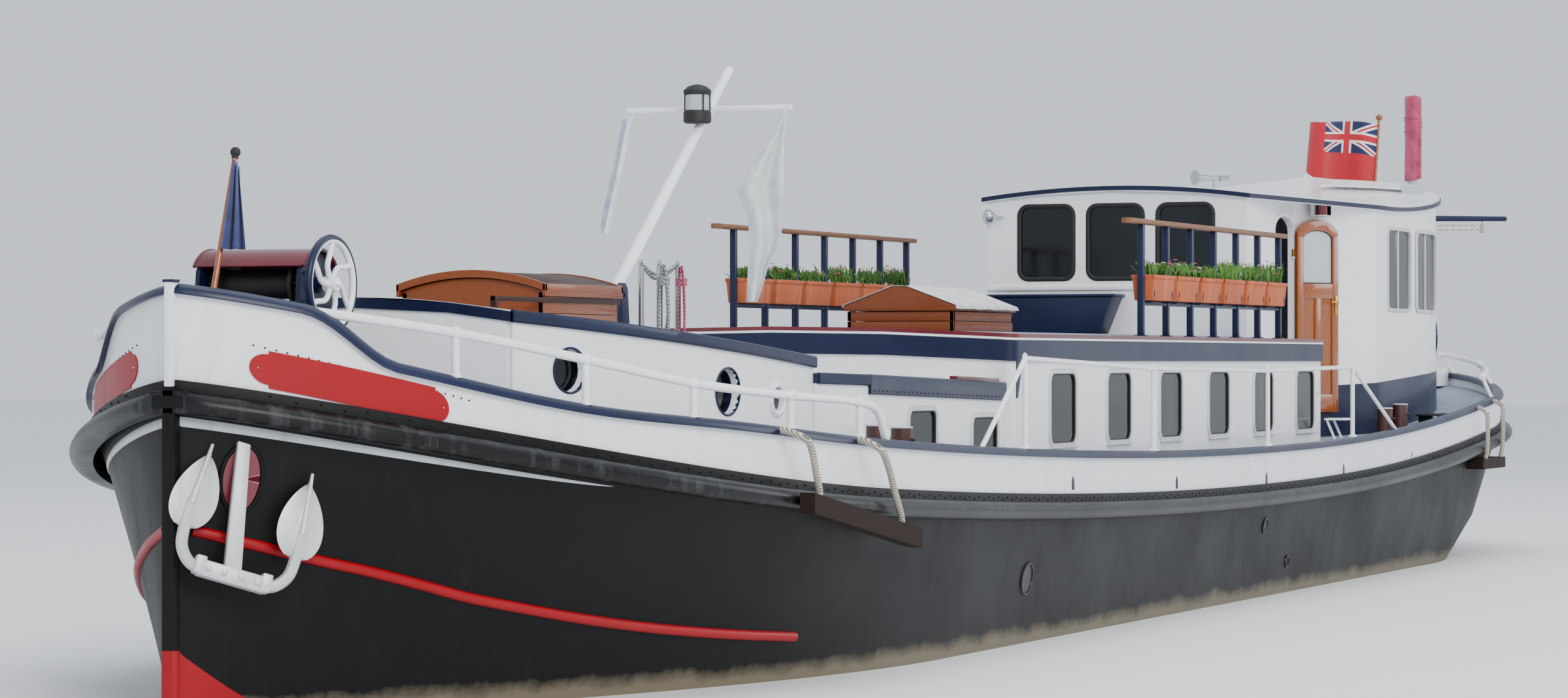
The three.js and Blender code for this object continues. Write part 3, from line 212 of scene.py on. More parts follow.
ROPES = {
    "mid_fender_rope_1": rope_to_mid_board(3.38, 3.56),
    "mid_fender_rope_2": rope_to_mid_board(4.35, 4.7),
    "stern_fender_rope_1": rope_knots(21.35, 21.35, 2.438, 1.015),
    "stern_fender_rope_2": rope_knots(22.05, 22.05, 2.438, 1.015),
}
ropes = []
for node, knots in ROPES.items():
    line = [p for p in smooth_path(knots) if p.y >= knots[0].y + 0.014 and p.z >= knots[-1].z + 0.008]
    mesh = bent_mesh(line, ROPE, 4)
    mesh.name = node + "_lay"
    rope = bpy.data.objects.new(node + "_lay", mesh)
    bpy.context.scene.collection.objects.link(rope)
    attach(rope, "boat")
    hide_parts(node)
    ropes.append(rope)

# %% [markdown]
# The barge floats, so the floor lies at the waterline and the part under it stays out of sight. A wide
# pale floor, a pale world and three large soft lights give the even light of a studio.

# %% Floor and soft light
floor_mesh = bpy.data.meshes.new("floor")
floor_bm = bmesh.new()
bmesh.ops.create_grid(floor_bm, x_segments=1, y_segments=1, size=150)
floor_bm.to_mesh(floor_mesh)
floor_bm.free()
floor = bpy.data.objects.new("floor", floor_mesh)
bpy.context.scene.collection.objects.link(floor)
floor_paint = bpy.data.materials.new("floor_paint")
floor_paint.use_nodes = True
floor_shader = floor_paint.node_tree.nodes["Principled BSDF"]
floor_shader.inputs["Base Color"].default_value = (0.86, 0.87, 0.88, 1)
floor_shader.inputs["Roughness"].default_value = 0.6
floor_mesh.materials.append(floor_paint)

world = bpy.data.worlds.new("studio")
bpy.context.scene.world = world
world.use_nodes = True
world.node_tree.nodes["Background"].inputs["Color"].default_value = (0.82, 0.88, 0.95, 1)
world.node_tree.nodes["Background"].inputs["Strength"].default_value = 1.05


def soft_light(name, spot, aim, size, power, colour):
    data = bpy.data.lights.new(name, "AREA")
    data.size = size
    data.energy = power
    data.color = colour
    lamp = bpy.data.objects.new(name, data)
    lamp.location = spot
    lamp.rotation_euler = (Vector(aim) - Vector(spot)).to_track_quat("-Z", "Y").to_euler()
    bpy.context.scene.collection.objects.link(lamp)


soft_light("key", (34, 26, 22), (2, 0, 1), 16, 12500, (1, 0.97, 0.92))
soft_light("sky", (0, 4, 30), (0, 0, 0), 26, 4200, (0.92, 0.96, 1))
soft_light("fill", (-22, 26, 14), (-6, 0, 1), 16, 3000, (0.95, 0.97, 1))
print("floor at the waterline, three soft lights")

# %% [markdown]
# Paint on a steel boat is never one flat colour: sun fades it in clouds, rain draws dirt down it, and the
# gloss varies. One shader node group does this for every paint. It reads Object coordinates, which stay
# put in any view, and hands out a colour, a roughness and a height for a Bump node.

# %% Weathered paint as a node group


def linear(hex_colour):
    parts = [int(hex_colour[i : i + 2], 16) / 255 for i in (1, 3, 5)]
    return (*[p / 12.92 if p <= 0.04045 else ((p + 0.055) / 1.055) ** 2.4 for p in parts], 1)


def new_group(name, colours, values):
    group = bpy.data.node_groups.new(name, "ShaderNodeTree")
    for label, default in colours.items():
        socket = group.interface.new_socket(label, in_out="INPUT", socket_type="NodeSocketColor")
        socket.default_value = linear(default)
    for label, default in values.items():
        socket = group.interface.new_socket(label, in_out="INPUT", socket_type="NodeSocketFloat")
        socket.default_value = default
    for label, kind in (("Color", "Color"), ("Roughness", "Float"), ("Height", "Float")):
        group.interface.new_socket(label, in_out="OUTPUT", socket_type="NodeSocket" + kind)
    return group, group.nodes.new("NodeGroupInput"), group.nodes.new("NodeGroupOutput")


def put(group, kind, links=(), **settings):
    node = group.nodes.new(kind)
    for key, value in settings.items():
        setattr(node, key, value)
    for socket, value in links:
        if isinstance(value, bpy.types.NodeSocket):
            group.links.new(value, node.inputs[socket])
        else:
            node.inputs[socket].default_value = value
    return node


def maths(group, how, *values):
    return put(group, "ShaderNodeMath", list(enumerate(values)), operation=how).outputs[0]


def spread(group, value, low, high, to_low=0.0, to_high=1.0):
    links = (("Value", value), ("From Min", low), ("From Max", high), ("To Min", to_low), ("To Max", to_high))
    return put(group, "ShaderNodeMapRange", links).outputs["Result"]


def mixed(group, part, first, second, how="MIX"):
    links = ((0, part), (6, first), (7, second))
    return put(group, "ShaderNodeMix", links, data_type="RGBA", blend_type=how).outputs[2]


def patches(group, where, scale, detail=4.0, rough=0.6):
    links = (("Vector", where), ("Scale", scale), ("Detail", detail), ("Roughness", rough))
    return put(group, "ShaderNodeTexNoise", links).outputs["Fac"]


def stretched(group, where, scale):
    return put(group, "ShaderNodeMapping", ((0, where), (3, scale))).outputs[0]


paint, paint_in, paint_out = new_group(
    "weathered_paint",
    {"Coat": "#e9ebef", "Faded": "#d7dbe0", "Dirt": "#8d8a82"},
    {"Clouds": 0.9, "Streaks": 0.35, "Gloss": 0.3, "Grit": 0.25},
)
place = paint.nodes.new("ShaderNodeTexCoord").outputs["Object"]
clouds = spread(paint, patches(paint, place, paint_in.outputs["Clouds"]), 0.35, 0.7)
faded = mixed(paint, clouds, paint_in.outputs["Coat"], paint_in.outputs["Faded"])
rain = spread(paint, patches(paint, stretched(paint, place, (5, 5, 0.5)), 1.6, 6.0, 0.7), 0.52, 0.78)
rain = maths(paint, "MULTIPLY", rain, paint_in.outputs["Streaks"])
soiled = mixed(paint, rain, faded, paint_in.outputs["Dirt"])
grain = patches(paint, place, 190.0, 3.0)
gloss = maths(paint, "MULTIPLY_ADD", clouds, 0.12, paint_in.outputs["Gloss"])
gritty = maths(paint, "MULTIPLY_ADD", rain, 0.3, gloss)
ripples = maths(paint, "MULTIPLY", grain, paint_in.outputs["Grit"])
paint.links.new(soiled, paint_out.inputs["Color"])
paint.links.new(gritty, paint_out.inputs["Roughness"])
paint.links.new(ripples, paint_out.inputs["Height"])
print("weathered_paint has", len(paint.nodes), "nodes")

# %% [markdown]
# Varnished wood shows long dark lines along its planks. A wave texture gives the rings, noise bends them, and
# the Along value squeezes the pattern so that the grain runs the way the plank lies.

# %% Wood grain as a node group
wood, wood_in, wood_out = new_group(
    "plank_grain", {"Light": "#a2551f", "Dark": "#5b2508"}, {
        "Across X": 1.0, "Across Y": 12.0, "Across Z": 12.0, "Gloss": 0.25
    }
)
place = wood.nodes.new("ShaderNodeTexCoord").outputs["Object"]
squeeze = put(wood, "ShaderNodeCombineXYZ", [(i, wood_in.outputs["Across " + c]) for i, c in enumerate("XYZ")])
along = put(wood, "ShaderNodeVectorMath", ((0, place), (1, squeeze.outputs[0])), operation="MULTIPLY").outputs[0]
rings = put(
    wood,
    "ShaderNodeTexWave",
    (("Vector", along), ("Scale", 2.6), ("Distortion", 3.0), ("Detail", 4.0), ("Detail Scale", 1.4)),
    bands_direction="DIAGONAL",
).outputs["Fac"]
fibres = patches(wood, along, 9.0, 6.0, 0.75)
dark = spread(wood, maths(wood, "MULTIPLY_ADD", rings, 0.3, fibres), 0.3, 1.0)
wood.links.new(mixed(wood, dark, wood_in.outputs["Dark"], wood_in.outputs["Light"]), wood_out.inputs["Color"])
polish = maths(wood, "MULTIPLY_ADD", fibres, 0.2, wood_in.outputs["Gloss"])
wood.links.new(polish, wood_out.inputs["Roughness"])
wood.links.new(fibres, wood_out.inputs["Height"])
print("plank_grain has", len(wood.nodes), "nodes")

# %% [markdown]
# Cloth and rope are threads. For cloth two waves cross at right angles, and their lighter value is the raised
# thread; the Shade colour is painted shade in the hollows between the threads and in the noise creases of the cloth.
# For rope one slanting wave along its length makes the strands.

# %% Threads as node groups
weave, weave_in, weave_out = new_group(
    "weave", {"Cloth": "#f1f1ef", "Shade": "#b9bdc2"}, {"Threads": 260.0, "Gloss": 0.85}
)
place = weave.nodes.new("ShaderNodeTexCoord").outputs["Object"]
warp, weft = (
    put(
        weave, "ShaderNodeTexWave", (("Vector", place), ("Scale", weave_in.outputs["Threads"])), bands_direction=d
    ).outputs["Fac"]
    for d in "XZ"
)
threads = maths(weave, "MAXIMUM", warp, weft)
crumple = spread(weave, patches(weave, place, 7.0, 5.0), 0.3, 0.75)
# Painted shade: the hollows between threads and the noise creases of the cloth take the darker Shade colour.
thread_and_crease_shade = maths(weave, "MULTIPLY_ADD", threads, 0.35, crumple)
weave.links.new(
    mixed(weave, spread(weave, thread_and_crease_shade, 0.2, 1.35), weave_in.outputs["Shade"], weave_in.outputs["Cloth"]),
    weave_out.inputs["Color"]
)
weave.links.new(maths(weave, "MULTIPLY_ADD", crumple, 0.1, weave_in.outputs["Gloss"]), weave_out.inputs["Roughness"])
weave.links.new(threads, weave_out.inputs["Height"])

# The Hollow colour is painted shade: it darkens the grooves between the strands of every rope.
lay, lay_in, lay_out = new_group(
    "rope_lay", {"Strand": "#c9c3b4", "Hollow": "#5f594d"}, {"Strands": 24.0, "Gloss": 0.9}
)
place = lay.nodes.new("ShaderNodeTexCoord").outputs["Object"]
twist = put(
    lay, "ShaderNodeTexWave", (("Vector", place), ("Scale", lay_in.outputs["Strands"]), ("Distortion", 1.2)),
    bands_direction="DIAGONAL"
).outputs["Fac"]
fluff = patches(lay, place, 120.0, 4.0)
strand = maths(lay, "MULTIPLY_ADD", fluff, 0.4, twist)
lay.links.new(
    mixed(lay, spread(lay, strand, 0.15, 0.9), lay_in.outputs["Hollow"], lay_in.outputs["Strand"]),
    lay_out.inputs["Color"]
)
lay.links.new(maths(lay, "MULTIPLY_ADD", fluff, 0.1, lay_in.outputs["Gloss"]), lay_out.inputs["Roughness"])
lay.links.new(strand, lay_out.inputs["Height"])
print("weave and rope_lay are ready")

# %% [markdown]
# A finish puts one group in a material of its own: the group drives colour, roughness and bump, and all that
# is the same over the whole surface is set on the shader's own sockets.

# %% Finishes
FINISH = {}


def finish(name, group, colours=(), values=(), bump=0.1, reach=0.002, **shader):
    material = bpy.data.materials.new(name)
    material.use_nodes = True
    tree = material.node_tree
    principled = tree.nodes["Principled BSDF"]
    for label, value in shader.items():
        principled.inputs[label.replace("_", " ")].default_value = value
    node = put(tree, "ShaderNodeGroup", node_tree=group)
    for label, value in dict(colours).items():
        node.inputs[label].default_value = linear(value)
    for label, value in dict(values).items():
        node.inputs[label].default_value = value
    dents = put(tree, "ShaderNodeBump", (("Strength", bump), ("Distance", reach), ("Height", node.outputs["Height"])))
    tree.links.new(node.outputs["Color"], principled.inputs["Base Color"])
    tree.links.new(node.outputs["Roughness"], principled.inputs["Roughness"])
    tree.links.new(dents.outputs["Normal"], principled.inputs["Normal"])
    FINISH[name] = material
    return material


def coat(name, base, faded, dirt, streaks=0.3, gloss=0.3, **more):
    colours = {"Coat": base, "Faded": faded, "Dirt": dirt}
    return finish(name, paint, colours, {"Streaks": streaks, "Gloss": gloss}, **more)


coat("plating_white", "#f2f4f7", "#e8ebf0", "#b5b2a8", 0.3, 0.28, Coat_Weight=0.25)
coat("house_white", "#f6f7f9", "#edeff2", "#cbc9c2", 0.16, 0.25, Coat_Weight=0.3)
coat("navy_gloss", "#0d1533", "#131e40", "#252e48", 0.2, 0.34, Specular_IOR_Level=0.3, Coat_Weight=0.08)
coat("maroon_gloss", "#5d0f1f", "#6f1a2a", "#4a2c2c", 0.25, 0.25, Coat_Weight=0.3)
coat("signal_red", "#93000f", "#9c0818", "#6a1218", 0.25, 0.34, Specular_IOR_Level=0.3)
coat("hull_tar", "#060607", "#0d0d0f", "#26251f", 0.3, 0.46, Specular_IOR_Level=0.2)
coat("deck_paint", "#8f9aa8", "#7f8a98", "#5f6266", 0.3, 0.62)
coat("bollard_brown", "#3a1f1b", "#4d2c26", "#6b5a50", 0.3, 0.38)
coat("anchor_silver", "#d3d5d6", "#bfc2c4", "#85827b", 0.4, 0.38, Metallic=0.35)
# This steel's grey streaks are partly wear and partly painted highlight, standing for the sheen along the round
# strake.
coat("scrape_and_highlight_steel", "#08090a", "#151618", "#66686a", 0.45, 0.3, Specular_IOR_Level=0.25)
coat("strip_grey", "#d6d9dd", "#b4b8bd", "#8a8e92", 0.6, 0.45)
coat("tube_steel", "#c9ccd0", "#b4b8bd", "#8a8d90", 0.2, 0.18, Metallic=1.0)
coat("blade_bronze", "#a8803c", "#8f6a30", "#4d5b46", 0.4, 0.3, Metallic=0.9)
coat("window_metal", "#d9dad8", "#c3c5c4", "#8f918e", 0.3, 0.35, Metallic=0.3)
coat("brass", "#c79a45", "#a87f35", "#6a5526", 0.3, 0.2, Metallic=1.0)
coat("rubber_black", "#141414", "#1e1e1f", "#33322f", 0.3, 0.6)
coat("clay", "#bf6238", "#a9532f", "#d9a98c", 0.5, 0.8)
coat("soil", "#3a2a1e", "#4b3828", "#2a1d14", 0.2, 0.95, bump=0.6, reach=0.01)
coat("leaf_green", "#3f6a26", "#5d8a35", "#2c4a1c", 0.3, 0.6)
coat("petal_pink", "#d23a6c", "#e8779a", "#a02650", 0.2, 0.6)
coat("petal_white", "#eceae4", "#dcd6cf", "#b8b29c", 0.2, 0.6)
coat("lamp_red", "#7c0a10", "#920f16", "#5e080c", 0.1, 0.12, Coat_Weight=0.8)
finish(
    "varnish", wood, {"Light": "#8c4417", "Dark": "#5c290b"}, {"Across X": 1.0, "Gloss": 0.2},
    Specular_IOR_Level=0.35, Coat_Weight=0.15
)
finish(
    "varnish_dark", wood, {"Light": "#3d1b0f", "Dark": "#200d07"}, {"Across X": 1.0, "Gloss": 0.4},
    Specular_IOR_Level=0.2
)
finish(
    "varnish_upright", wood, {"Light": "#a9581f", "Dark": "#76380f"},
    {"Across X": 12.0, "Across Z": 1.0, "Gloss": 0.16}, Coat_Weight=0.6
)
finish("teak_cap", wood, {"Light": "#8a5a35", "Dark": "#5f3a20"}, {"Across X": 1.0, "Gloss": 0.4})
finish(
    "board_brown", wood, {"Light": "#2b1a13", "Dark": "#140b07"}, {"Across X": 1.0, "Gloss": 0.6}, bump=0.3,
    Specular_IOR_Level=0.2
)
finish("rope_white", lay, bump=0.6, reach=0.006)
finish("rope_grey", lay, {"Strand": "#9aa0a6", "Hollow": "#4b5055"}, bump=0.6, reach=0.006)
finish("rope_pink", lay, {"Strand": "#c2607a", "Hollow": "#6d2636"}, bump=0.6, reach=0.006)
finish("canvas_white", weave, bump=0.15, reach=0.001, Sheen_Weight=0.2)
finish("canvas_pink", weave, {"Cloth": "#c34a6c", "Shade": "#7d2440"}, bump=0.2, reach=0.001, Sheen_Weight=0.3)
finish("flag_blue", weave, {"Cloth": "#33448c", "Shade": "#1d2a5c"}, bump=0.1, reach=0.001, Sheen_Weight=0.2)
finish(
    "stripe_cloth", weave, {"Cloth": "#eef0f2", "Shade": "#c3cbdd"}, {"Threads": 2.0}, bump=0.1, reach=0.001,
    Sheen_Weight=0.2
)
finish("pennant_cloth", weave, {"Cloth": "#eceded", "Shade": "#b9c6c8"}, bump=0.1, reach=0.001, Sheen_Weight=0.2)
for rope in ropes:
    rope.data.materials.append(FINISH["rope_white"])
print(len(FINISH), "finishes")

# %% [markdown]
# Glass is dark from outside because the cabin behind it is dark. A blue-black base with a hard, clear gloss
# shows the sky as real panes do, and a faint noise keeps the reflection from being perfectly flat.

# %% Window glass
coat("pane_dark", "#080b10", "#0e141b", "#05070a", 0.1, 0.05, Specular_IOR_Level=0.4, bump=0.02)
coat("pane_smoke", "#c4ccd2", "#aab4bc", "#7d868d", 0.1, 0.1, Coat_Weight=1.0, Coat_Roughness=0.02)
print("panes ready")

# %% [markdown]
# Every new piece is a bmesh that goes through the same last step: doubles are merged, the faces are turned
# out, the mesh gets its finish, and it is hung on a body of the CAD part.

# %% Making a piece
MADE = []


def emit(name, bm, look, body="boat", smooth=34, nodes=()):
    bmesh.ops.remove_doubles(bm, verts=bm.verts, dist=2e-5)
    bmesh.ops.recalc_face_normals(bm, faces=bm.faces)
    mesh = bpy.data.meshes.new(name)
    bm.to_mesh(mesh)
    bm.free()
    mesh.materials.append(FINISH[look])
    mesh.shade_smooth()
    mesh.set_sharp_from_angle(angle=radians(smooth))
    piece = bpy.data.objects.new(name, mesh)
    bpy.context.scene.collection.objects.link(piece)
    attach(piece, body)
    if nodes:
        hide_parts(*nodes)
    MADE.append(piece)
    return piece


def both_sides(bm):
    bmesh.ops.mirror(bm, geom=bm.verts[:] + bm.edges[:] + bm.faces[:], axis="Y", merge_dist=1e-5)
    return bm


# %% [markdown]
# The plating is a grid whose columns run along the boat and whose rows are lines of the hull. Each grid point
# is moved onto its line, and the port side is mirrored. One helper makes the shell, the deck edge, the
# bulwark, the cap and the rubbing strake, so that they all share the same sweep.

# %% A sweep along the hull
COLUMNS = 170


def hull_line(name, inset, height):
    _, _, start, end, _, _ = OUTLINES[name]

    def spot(t):
        eased = t - 0.8 * sin(2 * pi * t) / (2 * pi)
        s = start + 1.4 * inset + (end - start - 2.4 * inset) * eased
        return at(s, half_breadth(name, s, inset, 0.02 - inset / 5), height(start + (end - start) * eased))

    return spot


def swept(lines, closed=False):
    rows = [*lines, lines[0]] if closed else lines
    bm = bmesh.new()
    bmesh.ops.create_grid(bm, x_segments=COLUMNS + 2, y_segments=len(rows) - 1, size=1)
    for v in bm.verts:
        i, j = round((v.co.x + 1) / 2 * (COLUMNS + 2)), round((v.co.y + 1) / 2 * (len(rows) - 1))
        spot = rows[j](min(1, max(0, (i - 1) / COLUMNS)))
        v.co = (spot.x, 0 if i in (0, COLUMNS + 2) else spot.y, spot.z)
    bmesh.ops.remove_doubles(bm, verts=bm.verts, dist=1e-6)
    return both_sides(bm)


def level(z):
    return lambda s: z


def below_strake(drop):
    return lambda s: strake_top(s) - drop


shell_lines = [hull_line(n, 0, level(o[0])) for n, o in OUTLINES.items() if o[0] is not None]
shell_lines += [hull_line("strake", 0, below_strake(0.2)), hull_line("deck", 0, below_strake(0.001))]
shell = swept(shell_lines)
bmesh.ops.holes_fill(shell, edges=[e for e in shell.edges if e.is_boundary], sides=0)
hull_piece = emit("hull_plating", shell, "hull_tar", smooth=60, nodes=["hull_shell"])
print("hull_plating has", len(hull_piece.data.polygons), "faces")

# %% [markdown]
# Weed grows on the plates just above the water. The hull's own material mixes a tan strip in by height, and
# noise makes its upper edge ragged.

# %% Weed at the waterline
tar = FINISH["hull_tar"].node_tree
where = put(tar, "ShaderNodeTexCoord").outputs["Object"]
height = put(tar, "ShaderNodeSeparateXYZ", ((0, where),)).outputs["Z"]
ragged = maths(tar, "MULTIPLY_ADD", patches(tar, where, 2.2, 8.0, 0.7), -0.22, height)
weed = spread(tar, ragged, -0.07, 0.02, 1.0, 0.0)
tar_group = next(n for n in tar.nodes if n.type == "GROUP")
base_socket = tar.nodes["Principled BSDF"].inputs["Base Color"]
tar.links.new(mixed(tar, weed, tar_group.outputs["Color"], (0.15, 0.125, 0.085, 1)), base_socket)
print("weed up to about 0.15 m over the water")

# %% [markdown]
# The bulwark is a white plate round the whole deck, capped by a half-round navy rail. Under it a flat riveted
# band and a worn half-round strake take the knocks; the strake's grey streaks are partly wear and partly
# painted highlight along its round. All four are closed rings swept round the hull.

# %% Bulwark, cap rail, band and strake


def over_rail(rise):
    return lambda s: rail_top(s) - CAP_HEIGHT + rise


def over_deck(rise):
    return lambda s: deck_edge(s) + rise


def ringed(corners):
    """A closed section carried round the hull, given as insets and heights."""
    return swept([hull_line("deck", *corner) for corner in corners], True)


bulwark = [(-0.002, below_strake(0)), (-0.002, over_rail(0.03)), (0.045, over_rail(0.03))]
bulwark += [(0.045, over_deck(-0.03)), (0.01, over_deck(-0.03)), (0.01, below_strake(0))]
emit("bulwark_plating", ringed(bulwark), "plating_white", nodes=["bulwark"])
arcs = [pi * i / 8 for i in range(9)]
half_round = [(0.0225 - 0.055 * cos(a), over_rail(0.052 * max(0, sin(a)) ** 0.75 + 0.004)) for a in arcs]
cap_rail = ringed([(-0.0325, over_rail(0)), *half_round, (0.0775, over_rail(0))])
emit("cap_rail_half_round", cap_rail, "navy_gloss", smooth=50, nodes=["cap_rail"])
band = [(0.001, 0), (-0.026, 0), (-0.028, 0.004), (-0.028, 0.07), (0.001, 0.07)]
band = ringed([(inset, below_strake(drop)) for inset, drop in band])
emit("riveted_band", band, "hull_tar")
arcs = [pi * i / 10 for i in range(11)]
half_round = [(-0.028 - 0.082 * max(0, sin(a)) ** 0.8, below_strake(0.122 - 0.066 * cos(a))) for a in arcs]
strake = ringed([(0.001, below_strake(0.056)), *half_round, (0.001, below_strake(0.188))])
for v in strake.verts:
    v.co.x = min(v.co.x, BOW_X + STEM_REACH)
# The strake's grey streaks are partly wear and partly painted highlight along its round.
emit("half_round_strake", strake, "scrape_and_highlight_steel", smooth=50, nodes=["rubbing_strake"])
print("bulwark, cap, band and strake swept round the hull")

# %% [markdown]
# The deck is cambered, so that rain runs off. A grid takes its shape from the deck's own formula, and is
# given a little thickness. It covers the CAD deck, whose wells under the cabins stay out of sight.

# %% Deck
deck = bmesh.new()
bmesh.ops.create_grid(deck, x_segments=150, y_segments=16, size=1)
for v in deck.verts:
    s = 0.06 + (v.co.x + 1) / 2 * (24.95 - 0.06)
    y = v.co.y * edge_at(0.03, s)
    v.co = at(s, y, deck_at(s, y) + 0.001)
bmesh.ops.solidify(deck, geom=deck.faces[:], thickness=0.04)
emit("deck_plating", deck, "deck_paint", nodes=["deck_fore", "deck_after"])
print("deck from the stem to the stern")

# %% [markdown]
# Most fittings are made of a few kinds of stock: blocks with eased edges, round bars, turned pieces and bent
# tubes. Each helper adds one such shape to a bmesh, so that a fitting is built up as a welder would.

# %% Stock for the fittings
UP = Vector((0, 0, 1))


def block(bm, low, high, ease=0.004, turn=None):
    low, high = Vector(low), Vector(high)
    size = high - low
    place = Matrix.Translation((low + high) / 2) @ Matrix.Diagonal((abs(size.x), abs(size.y), abs(size.z), 1))
    made = bmesh.ops.create_cube(bm, size=1, matrix=place)["verts"]
    if ease:
        edges = list({e for v in made for e in v.link_edges})
        made = bmesh.ops.bevel(
            bm, geom=edges, offset=ease, segments=2, profile=0.5, affect="EDGES", material=-1
        )["verts"]
    if turn:
        bmesh.ops.transform(bm, matrix=turn, verts=list(made))
    return list(made)


def beam(bm, a, b, width, height, ease=0.004):
    """A block from a to b, so wide and so high."""
    a, b = Vector(a), Vector(b)
    turn = (b - a).to_track_quat("X", "Z").to_matrix().to_4x4()
    place = Matrix.Translation((a + b) / 2) @ turn
    length = (b - a).length
    return block(bm, (-length / 2, -width / 2, -height / 2), (length / 2, width / 2, height / 2), ease, place)


def rod(bm, a, b, radius, end_radius=None, sides=16):
    a, b = Vector(a), Vector(b)
    place = Matrix.Translation((a + b) / 2) @ (b - a).to_track_quat("Z", "X").to_matrix().to_4x4()
    last = radius if end_radius is None else end_radius
    return bmesh.ops.create_cone(
        bm, cap_ends=True, segments=sides, radius1=radius, radius2=last, depth=(b - a).length, matrix=place
    )["verts"]


def ball(bm, centre, radius, squash=1.0, detail=2):
    place = Matrix.Translation(centre) @ Matrix.Diagonal((1, 1, squash, 1))
    return bmesh.ops.create_icosphere(bm, subdivisions=detail, radius=radius, matrix=place)["verts"]


def turned(bm, base, outline, axis=UP, sides=24):
    """Spins an outline of radius and height pairs about an axis through base."""
    spots = [bm.verts.new((r, 0, h)) for r, h in outline]
    edges = [bm.edges.new(pair) for pair in zip(spots, spots[1:])]
    bmesh.ops.spin(bm, geom=spots + edges, cent=(0, 0, 0), axis=UP, angle=2 * pi, steps=sides, use_merge=True)
    island = {v for e in edges for v in e.verts}
    front = list(island)
    while front:
        for e in front.pop().link_edges:
            for v in e.verts:
                if v not in island:
                    island.add(v)
                    front.append(v)
    bmesh.ops.remove_doubles(bm, verts=list(island), dist=1e-5)
    island = [v for v in island if v.is_valid]
    place = Matrix.Translation(Vector(base)) @ Vector(axis).to_track_quat("Z", "X").to_matrix().to_4x4()
    bmesh.ops.transform(bm, matrix=place, verts=island)
    return island


def tube(bm, points, radius, sides=10, closed=False):
    mesh = bent_mesh(points, radius, max(0, sides // 4 - 1), closed)
    bm.from_mesh(mesh)
    bpy.data.meshes.remove(mesh)


def hoop(bm, centre, wide, high, thick, steps=16, sides=8):
    """A closed ring of tube, from the two half axes of its oval."""
    turns = [2 * pi * i / steps for i in range(steps)]
    spots = [centre + Vector([cos(a) * w + sin(a) * h for w, h in zip(wide, high)]) for a in turns]
    tube(bm, spots, thick, sides, True)


print("stock: block, beam, rod, ball, turned, tube, hoop")

# %% [markdown]
# The stem post is a flat bar welded over the meeting plates. It is white down to the strake and black under
# it, with a small navy cap. The red forefoot is a painted patch, so it is a thin skin over the plates.

# %% Stem post
stem = bmesh.new()
block(stem, (BOW_X + 0.0003, -0.026, 1.86), (BOW_X + STEM_REACH, 0.026, 2.44), 0.008)
emit("stem_post_head", stem, "plating_white")
stem = bmesh.new()
block(stem, (BOW_X + 0.0003, -0.04, -0.3), (BOW_X + STEM_REACH, 0.04, 1.86), 0.008)
beam(stem, (BOW_X + 0.034, 0, -0.3), (BOW_X - 0.226, 0, -1.02), 0.08, 0.068, 0.006)
block(stem, (BOW_X - 0.05, -0.13, 1.712), (BOW_X + 0.0685, 0.13, 1.84), 0.03)
emit("stem_post_foot", stem, "hull_tar", nodes=["stem_post"])
cap_bm = bmesh.new()
block(cap_bm, (BOW_X - 0.004, -0.036, 2.435), (BOW_X + 0.07, 0.036, 2.452), 0.005)
emit("stem_cap", cap_bm, "navy_gloss")
print("stem post to z 2.45")

# %% [markdown]
# Boards, painted strips and patches lie on the curved bow. A grid whose points are placed by a rule is the
# easiest sheet to lay on a curved side, and the rule asks the hull's own lines how far out the plate is there.

# %% Sheets laid on the hull
SIDE_LEVELS = ["run", "counter", "water", "side", "strake", "deck"]
STEP = 0.02


def moulded(bm, columns, rows, place, thickness=0.0):
    made = bmesh.ops.create_grid(bm, x_segments=columns, y_segments=rows, size=1, calc_uvs=True)["verts"]
    faces = list({f for v in made for f in v.link_faces})
    for v in made:
        v.co = place((v.co.x + 1) / 2, (v.co.y + 1) / 2)
    if thickness:
        bmesh.ops.recalc_face_normals(bm, faces=faces)
        bmesh.ops.solidify(bm, geom=faces, thickness=thickness)
    return made


def side_out(s, z):
    """The half breadth of the plating at a station and a height."""
    heights = [OUTLINES[n][0] for n in SIDE_LEVELS[:4]] + [strake_top(s) - STRAKE_HEIGHT, strake_top(s)]
    for k in range(5):
        if z <= heights[k + 1] or k == 4:
            part = min(1, max(0, (z - heights[k]) / (heights[k + 1] - heights[k])))
            low, high = half_breadth(SIDE_LEVELS[k], s), half_breadth(SIDE_LEVELS[k + 1], s)
            return low + (high - low) * part


def slope_at(half, s):
    """How fast a side's half breadth grows aft of a station."""
    return (half(s + STEP) - half(s - STEP)) / (2 * STEP)


def on_side(s, z, out=0.0):
    """A point so far outside the plating, measured square to it in plan."""
    before = max(0, s - STEP)
    slope = (side_out(s + STEP, z) - side_out(before, z)) / (s + STEP - before)
    return at(s, side_out(s, z), z) + Vector((slope, 1, 0)).normalized() * out


print("the plating's half breadth 1 m aft of the stem is", round(side_out(1, 0.8), 3), "m")

# %% [markdown]
# Each bow carries a long red board with stepped, rounded ends. Its columns stand closer together at the
# ends, where the outline turns, and two small screws hold it.

# %% Red boards on the bow
BOARD = {"fore": 0.205, "aft": 1.035, "high": 1.972, "low": 1.728, "half": 0.104, "nose": 0.085}


def bulwark_face(s):
    return edge_at(-0.002, s)


